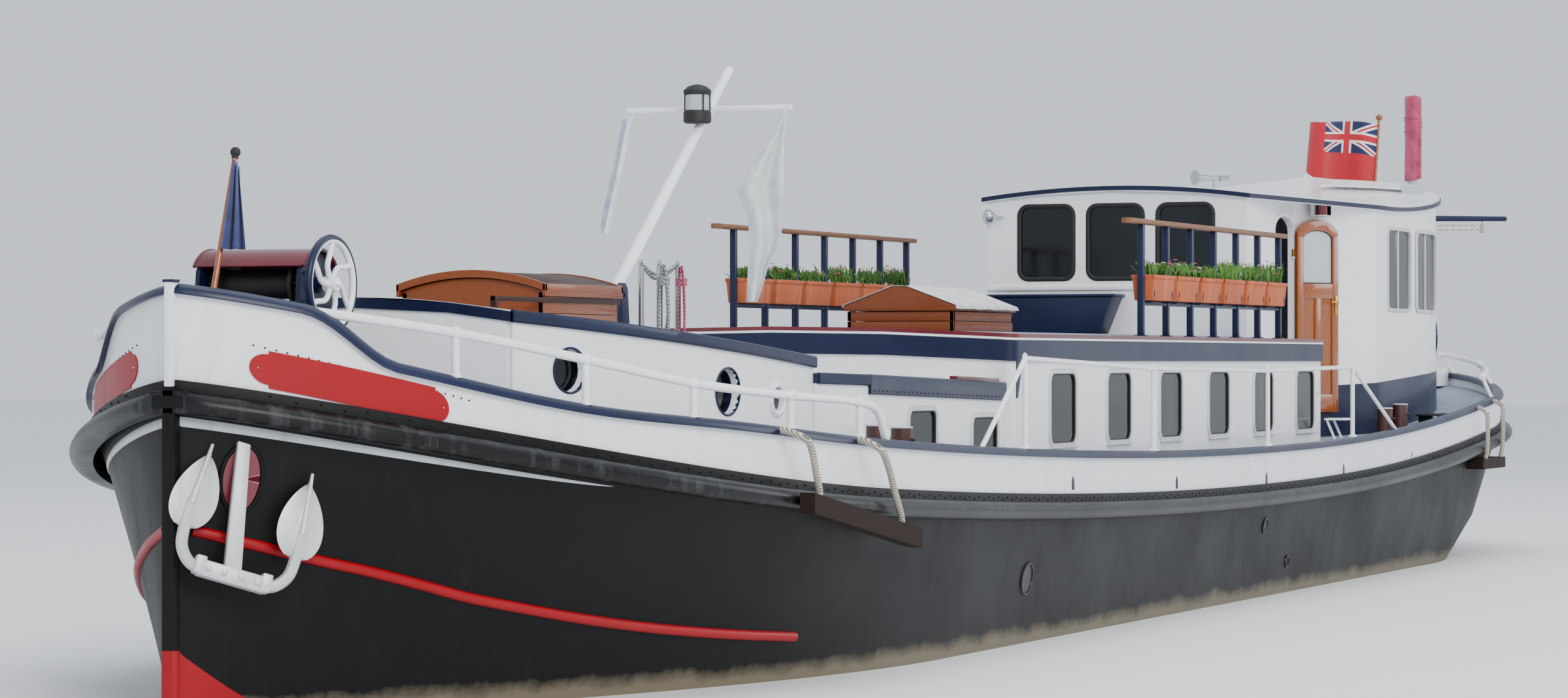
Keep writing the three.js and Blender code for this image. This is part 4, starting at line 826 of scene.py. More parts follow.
def board_outline():
    """Places along the board from 0 to 1, each with its half height."""
    nose, length = BOARD["nose"], 1.0
    arc = [(nose * (1 - cos(a)), nose * sin(a)) for a in (pi / 2 * i / 8 for i in range(9))]
    arc = [(x * 0.9, max(0.002, h)) for x, h in arc] + [(nose * 0.93, nose), (nose * 0.95, BOARD["half"])]
    middle = [(nose + (length - 2 * nose) * i / 24, BOARD["half"]) for i in range(1, 24)]
    return arc + middle + [(length - x, h) for x, h in reversed(arc)]


def board_spot(part, rise, out):
    s = BOARD["fore"] + (BOARD["aft"] - BOARD["fore"]) * part
    z = BOARD["high"] + (BOARD["low"] - BOARD["high"]) * part + rise
    slope = slope_at(bulwark_face, s)
    return at(s, bulwark_face(s), z) + Vector((slope, 1, 0)).normalized() * out


outline = board_outline()


def board_face(u, v):
    along, half = outline[round(u * (len(outline) - 1))]
    return board_spot(along, (2 * v - 1) * half, 0.008)


board = bmesh.new()
moulded(board, len(outline) - 1, 4, board_face, 0.012)
emit("bow_boards", both_sides(board), "signal_red")
screws = bmesh.new()
for part in (0.035, 0.965):
    ball(screws, board_spot(part, 0, 0.009), 0.007)
emit("bow_board_screws", both_sides(screws), "tube_steel")
print("two red boards,", round(BOARD["aft"] - BOARD["fore"], 2), "m along the boat")

# %% [markdown]
# Under the strake runs a pale strip that dies out aft. Lower down a red half-round bead sweeps from the stem to
# the waterline, and the forefoot is painted the same red. The strip and the patch are thin sheets on the
# plating, and the bead is a tube half sunk in it.

# %% Strip, bead and forefoot


def strip_spot(u, v):
    """The strip thins out aft, in height and in how far it stands out."""
    s = 0.01 + 2.1 * u
    z = strake_top(s) - 0.19 - (0.01 + 0.055 * v) * (1 - u) ** 0.6
    return on_side(s, z, (0.004 + 0.01 * sin(pi * v)) * (1 - u) ** 0.5)


strip = bmesh.new()
moulded(strip, 60, 3, strip_spot, 0.005)
emit("pale_strip", both_sides(strip), "strip_grey", smooth=60)
BEAD = [(0.058, 1.067), (0.262, 0.994), (0.407, 0.946), (0.612, 0.881), (0.849, 0.816), (1.123, 0.735)]
BEAD += [(1.42, 0.647), (1.695, 0.585), (2.2, 0.487), (2.741, 0.405), (3.4, 0.332), (4.096, 0.275)]
bead = bmesh.new()
tube(bead, smooth_path([on_side(s, z, 0.0) for s, z in BEAD], 6), 0.033, 16)
emit("red_bead", both_sides(bead), "signal_red", smooth=60)


def forefoot_spot(u, v):
    return on_side(0.001 + 0.5 * u, 0.004 + (0.402 - 0.7 * 0.5 * u) * v * (1 - 0.35 * u), 0.004)


forefoot = bmesh.new()
moulded(forefoot, 16, 10, forefoot_spot, 0.005)
block(forefoot, (BOW_X + 0.001, -0.0415, 0.003), (BOW_X + 0.0695, 0.0415, 0.41), 0.008)
emit("red_forefoot", both_sides(forefoot), "signal_red", smooth=60)
print("strip, bead and forefoot laid on the bow")

# %% [markdown]
# The band over the strake is riveted. A rivet is a low eight-sided dome, and one bmesh holds all of them, set
# square to the band every 9 cm, closer at the bow where the plates were joined twice.

# %% Rivets
rivets = bmesh.new()


def rivet(s, drop, out=0.0275, radius=0.011):
    slope = slope_at(lambda q: edge_at(-out, q), s)
    normal = Vector((slope, 1, 0)).normalized()
    foot = at(s, edge_at(-out, s), strake_top(s) - drop)
    rod(rivets, foot - 0.003 * normal, foot + 0.006 * normal, radius, radius * 0.45, 8)


for i in range(250):
    rivet(0.25 + i * 0.095, 0.03 + 0.012 * (i % 2))
for i in range(24):
    rivet(0.22 + i * 0.04, -0.27 + 0.11 * (0.22 + i * 0.04), 0.001, 0.008)
emit("band_rivets", both_sides(rivets), "hull_tar", smooth=60)
print("rivets on the band")

# %% [markdown]
# The anchor's shank goes up into a recess in the port bow. Seen from outside, the recess is a tall oval with a
# dark red floor and a round black lip, so a domed oval sheet and a closed tube show it.

# %% Anchor recess
recess = bmesh.new()
RECESS = {"s": 0.226, "z": 1.345, "wide": 0.078, "tall": 0.19}


def recess_spot(a, part, out):
    s = RECESS["s"] + RECESS["wide"] * cos(a) * part
    return on_side(s, RECESS["z"] + RECESS["tall"] * sin(a) * part, out)


moulded(recess, 32, 5, lambda u, v: recess_spot(2 * pi * u, max(0.001, v), 0.004), 0.003)
emit("anchor_recess", recess, "maroon_gloss", smooth=60)
lip = bmesh.new()
tube(lip, [recess_spot(2 * pi * i / 36, 1.0, 0.005) for i in range(36)], 0.013, 12, True)
emit("anchor_recess_lip", lip, "hull_tar", smooth=60)
print("recess for the anchor's shank")

# %% [markdown]
# Three more kinds of stock: a plate cut to an outline, a rounded frame round a window, and a gear. A frame's
# section is carried round a rounded rectangle by a grid that closes on itself.

# %% Plates, frames and gears


def plate(bm, outline, push, ease=0.0):
    face = bm.faces.new([bm.verts.new(Vector(p)) for p in outline])
    grown = bmesh.ops.extrude_face_region(bm, geom=[face])["geom"]
    moved = [v for v in grown if isinstance(v, bmesh.types.BMVert)]
    bmesh.ops.translate(bm, vec=Vector(push), verts=moved)
    if ease:
        edges = list({e for v in moved + face.verts[:] for e in v.link_edges})
        bmesh.ops.bevel(bm, geom=edges, offset=ease, segments=2, profile=0.5, affect="EDGES", material=-1)


def rounded(width, height, round_, steps=5):
    """Points of a rounded rectangle, each with its outward direction."""
    points = []
    for k, (x, y) in enumerate(((1, 1), (-1, 1), (-1, -1), (1, -1))):
        for i in range(steps + 1):
            a = pi / 2 * (k + i / steps)
            way = Vector((cos(a), sin(a), 0))
            points.append((Vector((x * (width / 2 - round_), y * (height / 2 - round_), 0)) + round_ * way, way))
    return points


def on_wall(point, normal):
    out = Vector(normal).normalized()
    sideways = UP.cross(out)
    turn = Matrix((sideways, UP, out)).transposed().to_4x4()
    return Matrix.Translation(Vector(point)) @ turn


def frame_ring(bm, loop, section, place):
    def spot(u, v):
        point, way = loop[round(u * len(loop)) % len(loop)]
        outwards, proud = section[round(v * len(section)) % len(section)]
        return place @ (point + way * outwards + Vector((0, 0, proud)))

    moulded(bm, len(loop), len(section), spot)


def pane(bm, loop, depth, place, thick=0.006):
    plate(bm, [place @ (p + Vector((0, 0, depth))) for p, _ in loop], place.to_3x3() @ Vector((0, 0, thick)))


def gear(bm, centre, radius, teeth, y0, y1):
    ring = []
    for i in range(4 * teeth):
        r = radius if i % 4 in (0, 1) else radius - 0.016
        a = 2 * pi * i / (4 * teeth)
        ring.append(Vector(centre) + Vector((r * cos(a), y0, r * sin(a))))
    plate(bm, ring, (0, y1 - y0, 0))


print("more stock: plate, frame_ring, pane, gear")

# %% [markdown]
# The anchor has a flat shank, a crown bar with square bolt heads, and two arms that end in leaf-shaped flukes
# with a raised rib. It is drawn flat in a plane of its own and laid against the bow with one matrix, as the
# CAD anchor is.

# %% Anchor
anchor = bmesh.new()
HEADING, LEAN, ROLL = radians(47), radians(9), radians(17)
outward = Vector((sin(HEADING), cos(HEADING), 0))
laid = Matrix.Translation(at(0.218, 0.317, 1.13) + 0.06 * outward) @ Matrix.Rotation(pi - HEADING, 4, "Z")
laid = laid @ Matrix.Rotation(-LEAN, 4, "X") @ Matrix.Rotation(ROLL, 4, "Y")
plate(
    anchor, [(-0.05, -0.04, -0.33), (0.05, -0.04, -0.33), (-0.09, -0.04, 0.4), (-0.165, -0.04, 0.4)], (0, 0.055, 0),
    0.008
)
block(anchor, (-0.2, -0.052, -0.382), (0.2, 0.03, -0.288), 0.012)
for x in (-0.19, 0.19):
    block(anchor, (x - 0.03, -0.058, -0.375), (x + 0.03, 0.03, -0.27), 0.01)
for x in (-0.14, -0.05, 0.05, 0.14):
    block(anchor, (x - 0.016, -0.064, -0.346), (x + 0.016, -0.045, -0.314), 0.003)
ARM = [(0.13, -0.335), (0.235, -0.325), (0.305, -0.25), (0.322, -0.13), (0.32, 0.02)]
for side in (-1, 1):
    tube(anchor, smooth_path([Vector((side * x, 0, z)) for x, z in ARM], 6), 0.034, 12)

    def leaf(u, v):
        width = 0.315 * sqrt(u) * (1 - u) ** 0.82
        across = 2 * v - 1
        lean = side * (0.32 - 0.03 * u)
        return Vector((lean + across * width, 0.006 - 0.03 * (1 - abs(across)) ** 1.4, -0.15 + 0.44 * u))

    moulded(anchor, 20, 10, leaf, 0.012)
    rod(anchor, (side * 0.32, -0.012, 0.0), (side * 0.291, -0.012, 0.345), 0.026, 0.009, 12)
bmesh.ops.transform(anchor, matrix=laid, verts=anchor.verts)
emit("bow_anchor", anchor, "anchor_silver", smooth=40, nodes=["anchor"])
print("anchor laid against the port bow")

# %% [markdown]
# The anchor windlass stands on the fore deck: two navy cheeks, a curved maroon cover, and on one shaft a drum, a
# gear and a hand wheel. What turns rides on its own body, so it is made apart from what stands still.

# %% Windlass
WINDLASS_AT = at(1.0, 0, 2.44)


def over_drum(radius, angle, y):
    """A point of the round hood, at an angle in degrees up from the fore side."""
    return at(1.0 - radius * cos(radians(angle)), y, 2.4 + radius * sin(radians(angle)))


hood = bmesh.new()
moulded(hood, 24, 1, lambda u, v: over_drum(0.244, 148 - 112 * u, (2 * v - 1) * 0.362), 0.012)
for y in (-0.356, 0.356):
    tube(hood, [over_drum(0.24, 148 - 7 * i, y) for i in range(17)], 0.012, 8)
emit("windlass_cover", hood, "maroon_gloss", smooth=50)
cheeks = bmesh.new()
for y in (-0.345, 0.315):
    arc = [over_drum(0.228, 30 + 12 * i, y) for i in range(11)]
    plate(cheeks, [at(0.75, y, 2.02), *arc, at(1.25, y, 2.02)], (0, 0.03, 0), 0.003)
    for s, z in ((0.84, 2.5), (1.16, 2.5), (0.8, 2.16), (1.2, 2.16)):
        rod(cheeks, at(s, y - 0.008, z), at(s, y + 0.038, z), 0.014, sides=6)
    rod(cheeks, at(1, y - 0.02, 2.44), at(1, y + 0.05, 2.44), 0.05)
block(cheeks, at(1.26, -0.345, 2.0), at(0.74, 0.345, 2.05), 0.006)
rod(cheeks, at(0.86, -0.33, 2.3), at(0.86, 0.33, 2.3), 0.018)
emit("windlass_cheeks", cheeks, "navy_gloss", smooth=40, nodes=["windlass_frame"])
drum = bmesh.new()
rod(drum, WINDLASS_AT + Vector((0, -0.24, 0)), WINDLASS_AT + Vector((0, 0.24, 0)), 0.085, sides=32)
for y in (-0.25, 0.225):
    rod(drum, WINDLASS_AT + Vector((0, y, 0)), WINDLASS_AT + Vector((0, y + 0.022, 0)), 0.15, sides=32)
gear(drum, WINDLASS_AT, 0.132, 22, 0.262, 0.3)
gear(drum, WINDLASS_AT, 0.132, 22, -0.3, -0.262)
rod(drum, WINDLASS_AT + Vector((0, -0.35, 0)), WINDLASS_AT + Vector((0, 0.4, 0)), 0.022, sides=20)
emit("windlass_drum", drum, "rubber_black", body="windlass_wheel")
wheel = bmesh.new()
WHEEL_AT = WINDLASS_AT + Vector((0, 0.43, 0))


def wheel_spot(radius, a):
    return WHEEL_AT + Vector((radius * cos(a), 0, radius * sin(a)))


for k in range(6):
    bend = ((0.03, 0), (0.11, 6), (0.19, 28), (0.25, 34))
    tube(wheel, smooth_path([wheel_spot(r, radians(60 * k + lead)) for r, lead in bend], 5), 0.017, 12)
hoop(wheel, WHEEL_AT, (0.253, 0, 0), (0, 0, 0.253), 0.021, 64, 12)
rod(wheel, WHEEL_AT - Vector((0, 0.035, 0)), WHEEL_AT + Vector((0, 0.04, 0)), 0.048, 0.04, 24)
ball(wheel, WHEEL_AT + Vector((0, 0.042, 0)), 0.024, 0.6)
emit("hand_wheel", wheel, "house_white", body="windlass_wheel", smooth=60, nodes=["windlass_wheel"])
rim = bmesh.new()
hoop(rim, WHEEL_AT, (0.262, 0, 0), (0, 0, 0.262), 0.023, 64, 12)
emit("hand_wheel_rim", rim, "navy_gloss", body="windlass_wheel", smooth=60)
print("windlass with its hand wheel")

# %% [markdown]
# White tube rails run along the fore deck and round the stern, and thinner ones along the side decks. Where a
# post meets its rail the real ones have a ball, so each joint gets one.

# %% White rails
rails = bmesh.new()
HAND_LINE = [(0.4, 2.29), (1.1, 2.16), (1.85, 2.01), (2.65, 1.87), (3.6, 1.79), (4.5, 1.74)]


def over_cap(s, z, inset=0.0):
    return at(s, rail_line(s) - inset, z)


tube(
    rails, smooth_path([over_cap(s, z) for s, z in HAND_LINE] + [over_cap(4.78, 1.68), over_cap(4.92, 1.5)], 8),
    0.028, 16
)
for s, z in HAND_LINE[1:]:
    rod(rails, over_cap(s, rail_top(s) - 0.02), over_cap(s, z), 0.023)
    ball(rails, over_cap(s, z), 0.04)
    rod(rails, over_cap(s, rail_top(s) - 0.006), over_cap(s, rail_top(s) + 0.012), 0.04, 0.03)
ball(rails, over_cap(0.4, 2.29), 0.036)
emit(
    "fore_rails", both_sides(rails), "house_white", smooth=60,
    nodes=["fore_handrail_port", "fore_handrail_starboard"]
)
guards = bmesh.new()
GUARD_POSTS = (7.6, 10.6, 13.8, 16.6)
line = [over_cap(s, rail_top(s) + 0.63) for s in GUARD_POSTS]
line = [over_cap(6.7, rail_top(6.7) - 0.02), *line, over_cap(18.2, rail_top(18.2) - 0.02)]
for a, b in zip(line, line[1:]):
    rod(guards, a, b, 0.018)
for s in GUARD_POSTS:
    rod(guards, over_cap(s, rail_top(s) - 0.02), over_cap(s, rail_top(s) + 0.61), 0.02)
    hoop(guards, over_cap(s, rail_top(s) + 0.63), (0.03, 0, 0), (0, 0, 0.03), 0.011)
    rod(guards, over_cap(s, rail_top(s) - 0.006), over_cap(s, rail_top(s) + 0.015), 0.042, 0.032)
emit(
    "side_rails", both_sides(guards), "house_white", smooth=60,
    nodes=["guard_rail_port", "guard_rail_starboard"]
)
aft_rail = bmesh.new()
stops = [22.2, 22.9, 23.5, 24.0, 24.38, 24.62, 24.78]


def stern_spot(s, side):
    return at(s, side * edge_at(0.12, s), rail_top(s) + 0.2)


tube(
    aft_rail, smooth_path([stern_spot(s, 1) for s in stops] + [stern_spot(s, -1) for s in reversed(stops)], 6), 0.026,
    16
)
for s in (22.25, 23.5, 24.38):
    for side in (1, -1):
        rod(aft_rail, at(s, side * rail_line(s), rail_top(s) - 0.02), stern_spot(s, side), 0.02)
        ball(aft_rail, stern_spot(s, side), 0.038)
emit("stern_rails", aft_rail, "house_white", smooth=60, nodes=["stern_rail"])
print("rails along both sides and round the stern")

# %% [markdown]
# The jackstaff is a tapered wooden pole with a dark truck on top, lashed to the rail with a white tie.

# %% Jackstaff
staff = bmesh.new()
rod(staff, at(0.29, 0, 1.96), at(0.66, 0, 3.17), 0.02, 0.014, 20)
emit("jackstaff_pole", staff, "varnish_upright", nodes=["jackstaff"])
truck = bmesh.new()
ball(truck, at(0.662, 0, 3.186), 0.03, 1.0, 3)
rod(truck, at(0.655, 0, 3.15), at(0.66, 0, 3.17), 0.02)
emit("jackstaff_truck", truck, "rubber_black")
tie = bmesh.new()
for i in range(4):
    hoop(tie, at(0.385 + 0.004 * i, 0, 2.27 + 0.013 * i), (0.023, 0, 0), (0, 0.023, 0), 0.0065)
emit("jackstaff_tie", tie, "rope_white")
print("jackstaff 1.2 m high")

# %% [markdown]
# The fore trunk's portholes are deep: a navy sleeve leads in to a pane far back in the wall. A navy moulding
# runs along the trunk's top edge. Each is set square to the curved wall, so the wall's own slope is worked out.

# %% Fore trunk portholes and edge


def fore_half(s):
    return half_breadth("deck", s) - 0.65


def fore_top(s):
    return 2.29 - (s - 2) * 0.084


def on_fore_wall(s, z):
    return on_wall(at(s, fore_half(s), z), (slope_at(fore_half, s), 1, 0))


def round_loop(wide, high, steps):
    """Points of an oval, each with its outward direction."""
    turns = [2 * pi * i / steps for i in range(steps)]
    return [(Vector((wide * cos(a), high * sin(a), 0)), Vector((cos(a), sin(a), 0))) for a in turns]


sleeves, small_rings, port_panes = bmesh.new(), bmesh.new(), bmesh.new()
SLEEVE = [(-0.001, -0.1), (-0.001, 0.003), (0.004, 0.007), (0.011, 0.004), (0.011, -0.003)]
SLEEVE += [(0.004, -0.003), (0.004, -0.1)]
RING = [(-0.012, -0.05), (-0.012, 0.01), (0.0, 0.018), (0.022, 0.014), (0.03, 0.0)]
RING += [(0.03, -0.004), (-0.004, -0.004), (-0.004, -0.05)]
for s, z, radius in ((2.42, 1.945, 0.13), (3.96, 1.81, 0.145), (4.63, 1.756, 0.09)):
    place, circle = on_fore_wall(s, z), round_loop(radius, radius, 40)
    if radius > 0.1:
        frame_ring(sleeves, circle, SLEEVE, place)
        pane(port_panes, circle, -0.09, place)
    else:
        frame_ring(small_rings, circle, RING, place)
        pane(port_panes, circle, -0.03, place)
        for i in range(8):
            way = Vector((cos(pi * i / 4), sin(pi * i / 4), 0))
            rod(small_rings, place @ (way * 0.112), place @ (way * 0.112 + Vector((0, 0, 0.006))), 0.007, 0.003, 8)
emit("porthole_sleeves", both_sides(sleeves), "navy_gloss", smooth=50)
emit("porthole_rings", both_sides(small_rings), "house_white", smooth=50)
emit("porthole_panes", both_sides(port_panes), "pane_dark")
edge = bmesh.new()
EDGE = [(0.002, -0.062), (0.02, -0.062), (0.026, -0.056), (0.026, 0.004), (0.018, 0.012), (0.002, 0.012)]


def edge_strip(bm, half, top, first, last, section, columns=60):
    def spot(u, v):
        s = first + (last - first) * u
        out, rise = section[round(v * len(section)) % len(section)]
        return at(s, half(s) + out, top(s) + rise)

    moulded(bm, columns, len(section), spot)
    for end in (0, 1):
        bm.faces.new([bm.verts.new(spot(end, j / len(section))) for j in range(len(section))])


edge_strip(edge, fore_half, fore_top, 1.985, 5.215, EDGE)
emit("fore_trunk_moulding", both_sides(edge), "navy_gloss", smooth=45)


def roof_sheet(columns, first, length, half, top, inset, camber, share):
    """A thin sheet over a cambered roof, its edges a little inside the walls."""

    def spot(u, v):
        s, across = first + length * u, 2 * v - 1
        return at(s, across * (half(s) - inset), top(s) + camber * (1 - (across * share) ** 2) + 0.003)

    sheet = bmesh.new()
    moulded(sheet, columns, 12, spot, 0.002)
    return sheet


top_sheet = roof_sheet(30, 2.02, 3.15, fore_half, fore_top, 0.05, 0.09, 0.97)
emit("fore_trunk_top", top_sheet, "house_white")
print("three portholes a side and the trunk's moulding")

# %% [markdown]
# The companion hatch is varnished wood: an arched lid of planks, edged all round, slides back over a coaming.
# Plates cut to the arch make its end boards, and one plate for each plank follows the arch across.

# %% Companion hatch
HATCH = {"fore": 3.57, "aft": 4.73, "half": 0.53, "top": 2.44, "thick": 0.045, "camber": 0.09}


def arch(y, top):
    return top + HATCH["camber"] * (1 - (y / HATCH["half"]) ** 2)


lid = bmesh.new()
COUNT, SEAM = 11, 0.0015
for i in range(COUNT):
    y0 = -HATCH["half"] + 2 * HATCH["half"] * i / COUNT + SEAM
    y1 = -HATCH["half"] + 2 * HATCH["half"] * (i + 1) / COUNT - SEAM
    low, high = HATCH["top"] + 0.012, HATCH["top"] + HATCH["thick"] - 0.003
    corners = [(y0, arch(y0, low)), (y1, arch(y1, low)), (y1, arch(y1, high)), (y0, arch(y0, high))]
    plate(
        lid, [at(HATCH["fore"] + 0.01, y, z) for y, z in corners], (-(HATCH["aft"] - HATCH["fore"] - 0.02), 0, 0),
        0.0015
    )
emit("hatch_lid_planks", lid, "varnish_dark", body="companion_slide", nodes=["companion_slide"])
trim = bmesh.new()
spread_y = [HATCH["half"] * (2 * i / 20 - 1) for i in range(21)]
for s in (HATCH["fore"], HATCH["aft"] - 0.028):
    over = [at(s, y, arch(y, HATCH["top"] + HATCH["thick"] + 0.004)) for y in spread_y]
    under = [at(s, y, arch(y, HATCH["top"] + 0.001)) for y in reversed(spread_y)]
    plate(trim, over + under, (-0.028, 0, 0), 0.003)
for y in (-0.53, 0.508):
    block(trim, at(HATCH["aft"], y, HATCH["top"] - 0.03), at(HATCH["fore"], y + 0.022, HATCH["top"] + 0.05), 0.004)
emit("hatch_lid_edges", trim, "varnish", body="companion_slide", smooth=40)
coaming = bmesh.new()
for y in (-0.5, 0.465):
    for low, high in ((2.16, 2.3), (2.303, 2.436)):
        block(coaming, at(4.7, y, low), at(3.6, y + 0.035, high), 0.003)
for s in (3.6, 4.665):
    ys = [0.498 * (2 * i / 16 - 1) for i in range(17)]
    head = [at(s, y, arch(y, HATCH["top"]) - 0.004) for y in ys]
    plate(coaming, head + [at(s, 0.498, 2.16), at(s, -0.498, 2.16)], (-0.035, 0, 0), 0.002)
emit("hatch_coaming", coaming, "varnish", nodes=["companion_coaming"])
runners = bmesh.new()
for y in (-0.515, 0.485):
    block(runners, at(4.72, y, 2.37), at(2.9, y + 0.03, 2.402), 0.004)
    block(runners, at(2.94, y - 0.006, 2.25), at(2.9, y + 0.036, 2.403), 0.004)
emit("hatch_runners", runners, "varnish_dark")
print("hatch of", COUNT, "planks")

# %% [markdown]
# The mast lies raked aft in its navy tabernacle. It carries a yard and a black lantern with a ribbed lens. All
# that swings rides on the mast's body, and the four stainless posts at its foot stay with the boat.

# %% Mast, yard and lantern
RAKE, YARD = radians(50), 2.12


def along_mast(d, y=0.0):
    return at(5.7 + d * sin(RAKE), y, 2.45 + d * cos(RAKE))


spar = bmesh.new()
rod(spar, along_mast(-0.07), along_mast(2.6), 0.047, 0.033, 32)
rod(spar, along_mast(YARD, -0.645), along_mast(YARD, 0.645), 0.021, sides=20)
for y in (-0.6, 0.6):
    hoop(spar, along_mast(YARD, y) - UP * 0.034, (0.02, 0, 0), (0, 0, 0.02), 0.005, 14)
rod(spar, along_mast(YARD - 0.03), along_mast(YARD + 0.03), 0.05, sides=24)
emit("mast_spar", spar, "house_white", body="mast", nodes=["mast"])
lantern = bmesh.new()
LAMP_AT = at(7.12, 0, 3.7)
BASE = [(0, 0), (0.086, 0), (0.1, 0.012), (0.1, 0.075), (0.09, 0.09), (0.06, 0.09), (0, 0.09)]
LID = [(0, 0.205), (0.088, 0.205), (0.1, 0.215), (0.1, 0.235), (0.07, 0.262), (0.03, 0.276), (0, 0.28)]
turned(lantern, LAMP_AT, BASE, sides=32)
turned(lantern, LAMP_AT, LID, sides=32)
for a in (0.9, 2.2, 3.2, 4.1, 5.4):
    spot = LAMP_AT + Vector((0.092 * cos(a), 0.092 * sin(a), 0))
    rod(lantern, spot + Vector((0, 0, 0.07)), spot + Vector((0, 0, 0.225)), 0.006, sides=8)
rod(lantern, LAMP_AT + Vector((-0.02, 0, 0.14)), LAMP_AT + Vector((-0.24, 0, 0.14)), 0.016)
emit("lantern_body", lantern, "rubber_black", body="mast", smooth=40)
lens = bmesh.new()
ribs = [(0.078 + 0.007 * (i % 2), 0.088 + 0.12 * i / 14) for i in range(15)]
turned(lens, LAMP_AT, [(0, 0.088), *ribs, (0, 0.208)], sides=32)
emit("lantern_lens", lens, "pane_smoke", body="mast", smooth=30)
step = bmesh.new()
CHEEK = [(5.56, 1.93), (5.86, 1.93), (5.79, 2.5), (5.755, 2.535), (5.675, 2.535), (5.64, 2.5)]
for y in (-0.072, 0.05):
    plate(step, [at(s, y, z) for s, z in CHEEK], (0, 0.022, 0), 0.004)
block(step, at(5.9, -0.13, 1.94), at(5.52, 0.13, 1.985), 0.006)
block(step, at(6.28, 0.06, 1.94), at(5.82, 0.32, 1.985), 0.006)
rod(step, at(5.7, -0.085, 2.45), at(5.7, 0.085, 2.45), 0.012)
for y in (-0.085, 0.073):
    rod(step, at(5.7, y, 2.45), at(5.7, y + 0.012, 2.45), 0.024, sides=6)
emit("tabernacle", step, "navy_gloss", nodes=["mast_tabernacle"])
pins = bmesh.new()
for s in (5.9, 6.2):
    for y in (0.12, 0.26):
        rod(pins, at(s, y, 1.97), at(s, y, 2.65), 0.021, sides=24)
        hoop(pins, at(s, y, 2.672), (0.022, 0, 0), (0, 0, 0.022), 0.006)
emit("rope_posts", pins, "tube_steel", smooth=50)
print("mast 2.6 m long, four rope posts")

# %% [markdown]
# Rope that isn't in use hangs from the posts in hanks. A hank is a handful of long narrow loops, each of a
# slightly different length, bound near the top, so one closed tube a loop makes it.

# %% Rope hanks on the posts


def hank(name, s, y, look, loops, drop, wide, thick):
    bm, peg = bmesh.new(), at(s, y, 2.655)
    for k in range(loops):
        sway = 0.012 * (k - (loops - 1) / 2)
        height = drop * (1 - 0.09 * (k % 3))
        ring = []
        for i in range(40):
            a = 2 * pi * i / 40
            pinch = 0.55 + 0.45 * (1 - sin(a)) / 2
            out = 0.028 + wide * cos(a) * pinch + sway * 0.5
            ring.append(peg + Vector((sway, out, -height / 2 + (height / 2) * sin(a))))
        tube(bm, ring, thick, 8, True)
    for i in range(4):
        hoop(bm, peg + Vector((0, 0.028, 0.014 * i - 0.13)), (0.032, 0, 0), (0, 0.036, 0), thick, 18)
    emit(name, bm, look, smooth=60)


hank("grey_hank", 5.9, 0.26, "rope_grey", 4, 0.56, 0.045, 0.011)
hank("pink_hank", 6.2, 0.26, "rope_pink", 6, 0.62, 0.03, 0.007)
swag = bmesh.new()
for k in range(2):
    slack = [at(6.0, 0.17, 2.6 - 0.03 * k), at(6.1, 0.22, 2.62 - 0.02 * k)]
    line = [at(5.9, 0.12, 2.67), *slack, at(6.2, 0.26, 2.67)]
    tube(swag, smooth_path(line, 6), 0.012, 8)
emit("grey_swag", swag, "rope_grey", smooth=60)
print("two hanks and a swag of rope")

# %% [markdown]
# The low trunk has a navy fascia with a row of rivets, and a red strip shows on its roof. Its windows and the
# saloon's are alike: a light metal frame with round corners, a dark pane, and a sill lip on the large ones.

# %% Side windows


def low_half(s):
    return 1.7 + 0.13 * min(1, (s - 5.2012) / 0.5988)


def low_top(s):
    return 1.915 - (s - 5.2012) * 0.025


frames, gaskets, panes, sills = bmesh.new(), bmesh.new(), bmesh.new(), bmesh.new()
FRAME = [(-0.014, -0.03), (-0.014, 0.01), (-0.008, 0.015), (0.018, 0.013), (0.024, 0.006)]
FRAME += [(0.024, -0.002), (-0.004, -0.002), (-0.004, -0.03)]
GASKET = [(-0.024, -0.02), (-0.024, 0.0), (-0.013, 0.004), (-0.013, -0.02)]


def side_window(place, width, height, round_):
    loop = rounded(width, height, round_)
    frame_ring(frames, loop, FRAME, place)
    frame_ring(gaskets, loop, GASKET, place)
    pane(panes, [(p - 0.012 * w, w) for p, w in loop], -0.016, place)


for s, z in ((6.82, 1.52), (8.08, 1.46)):
    side_window(on_wall(at(s, 1.83, z), (0, 1, 0)), 0.55, 0.3, 0.07)
SALOON_WINDOWS = [9.62 + 1.366 * i for i in range(6)]
for s in SALOON_WINDOWS:
    side_window(on_wall(at(s, 1.9, 1.645), (0, 1, 0)), 0.62, 0.55, 0.09)
    block(sills, at(s + 0.3, 1.9, 1.347), at(s - 0.3, 1.935, 1.357), 0.003)
emit("window_frames", both_sides(frames), "window_metal", smooth=40)
emit("window_gaskets", both_sides(gaskets), "rubber_black", smooth=40)
emit("window_panes", both_sides(panes), "pane_dark")
emit("window_sills", both_sides(sills), "window_metal")
print(len(SALOON_WINDOWS), "saloon windows and 2 low ones a side")

# %% [markdown]
# The bands of colour at the roof edges are separate strips: on the low trunk a navy fascia, and on the saloon a
# navy band, a thin white line and a maroon edge, carried round the rounded fore corners.

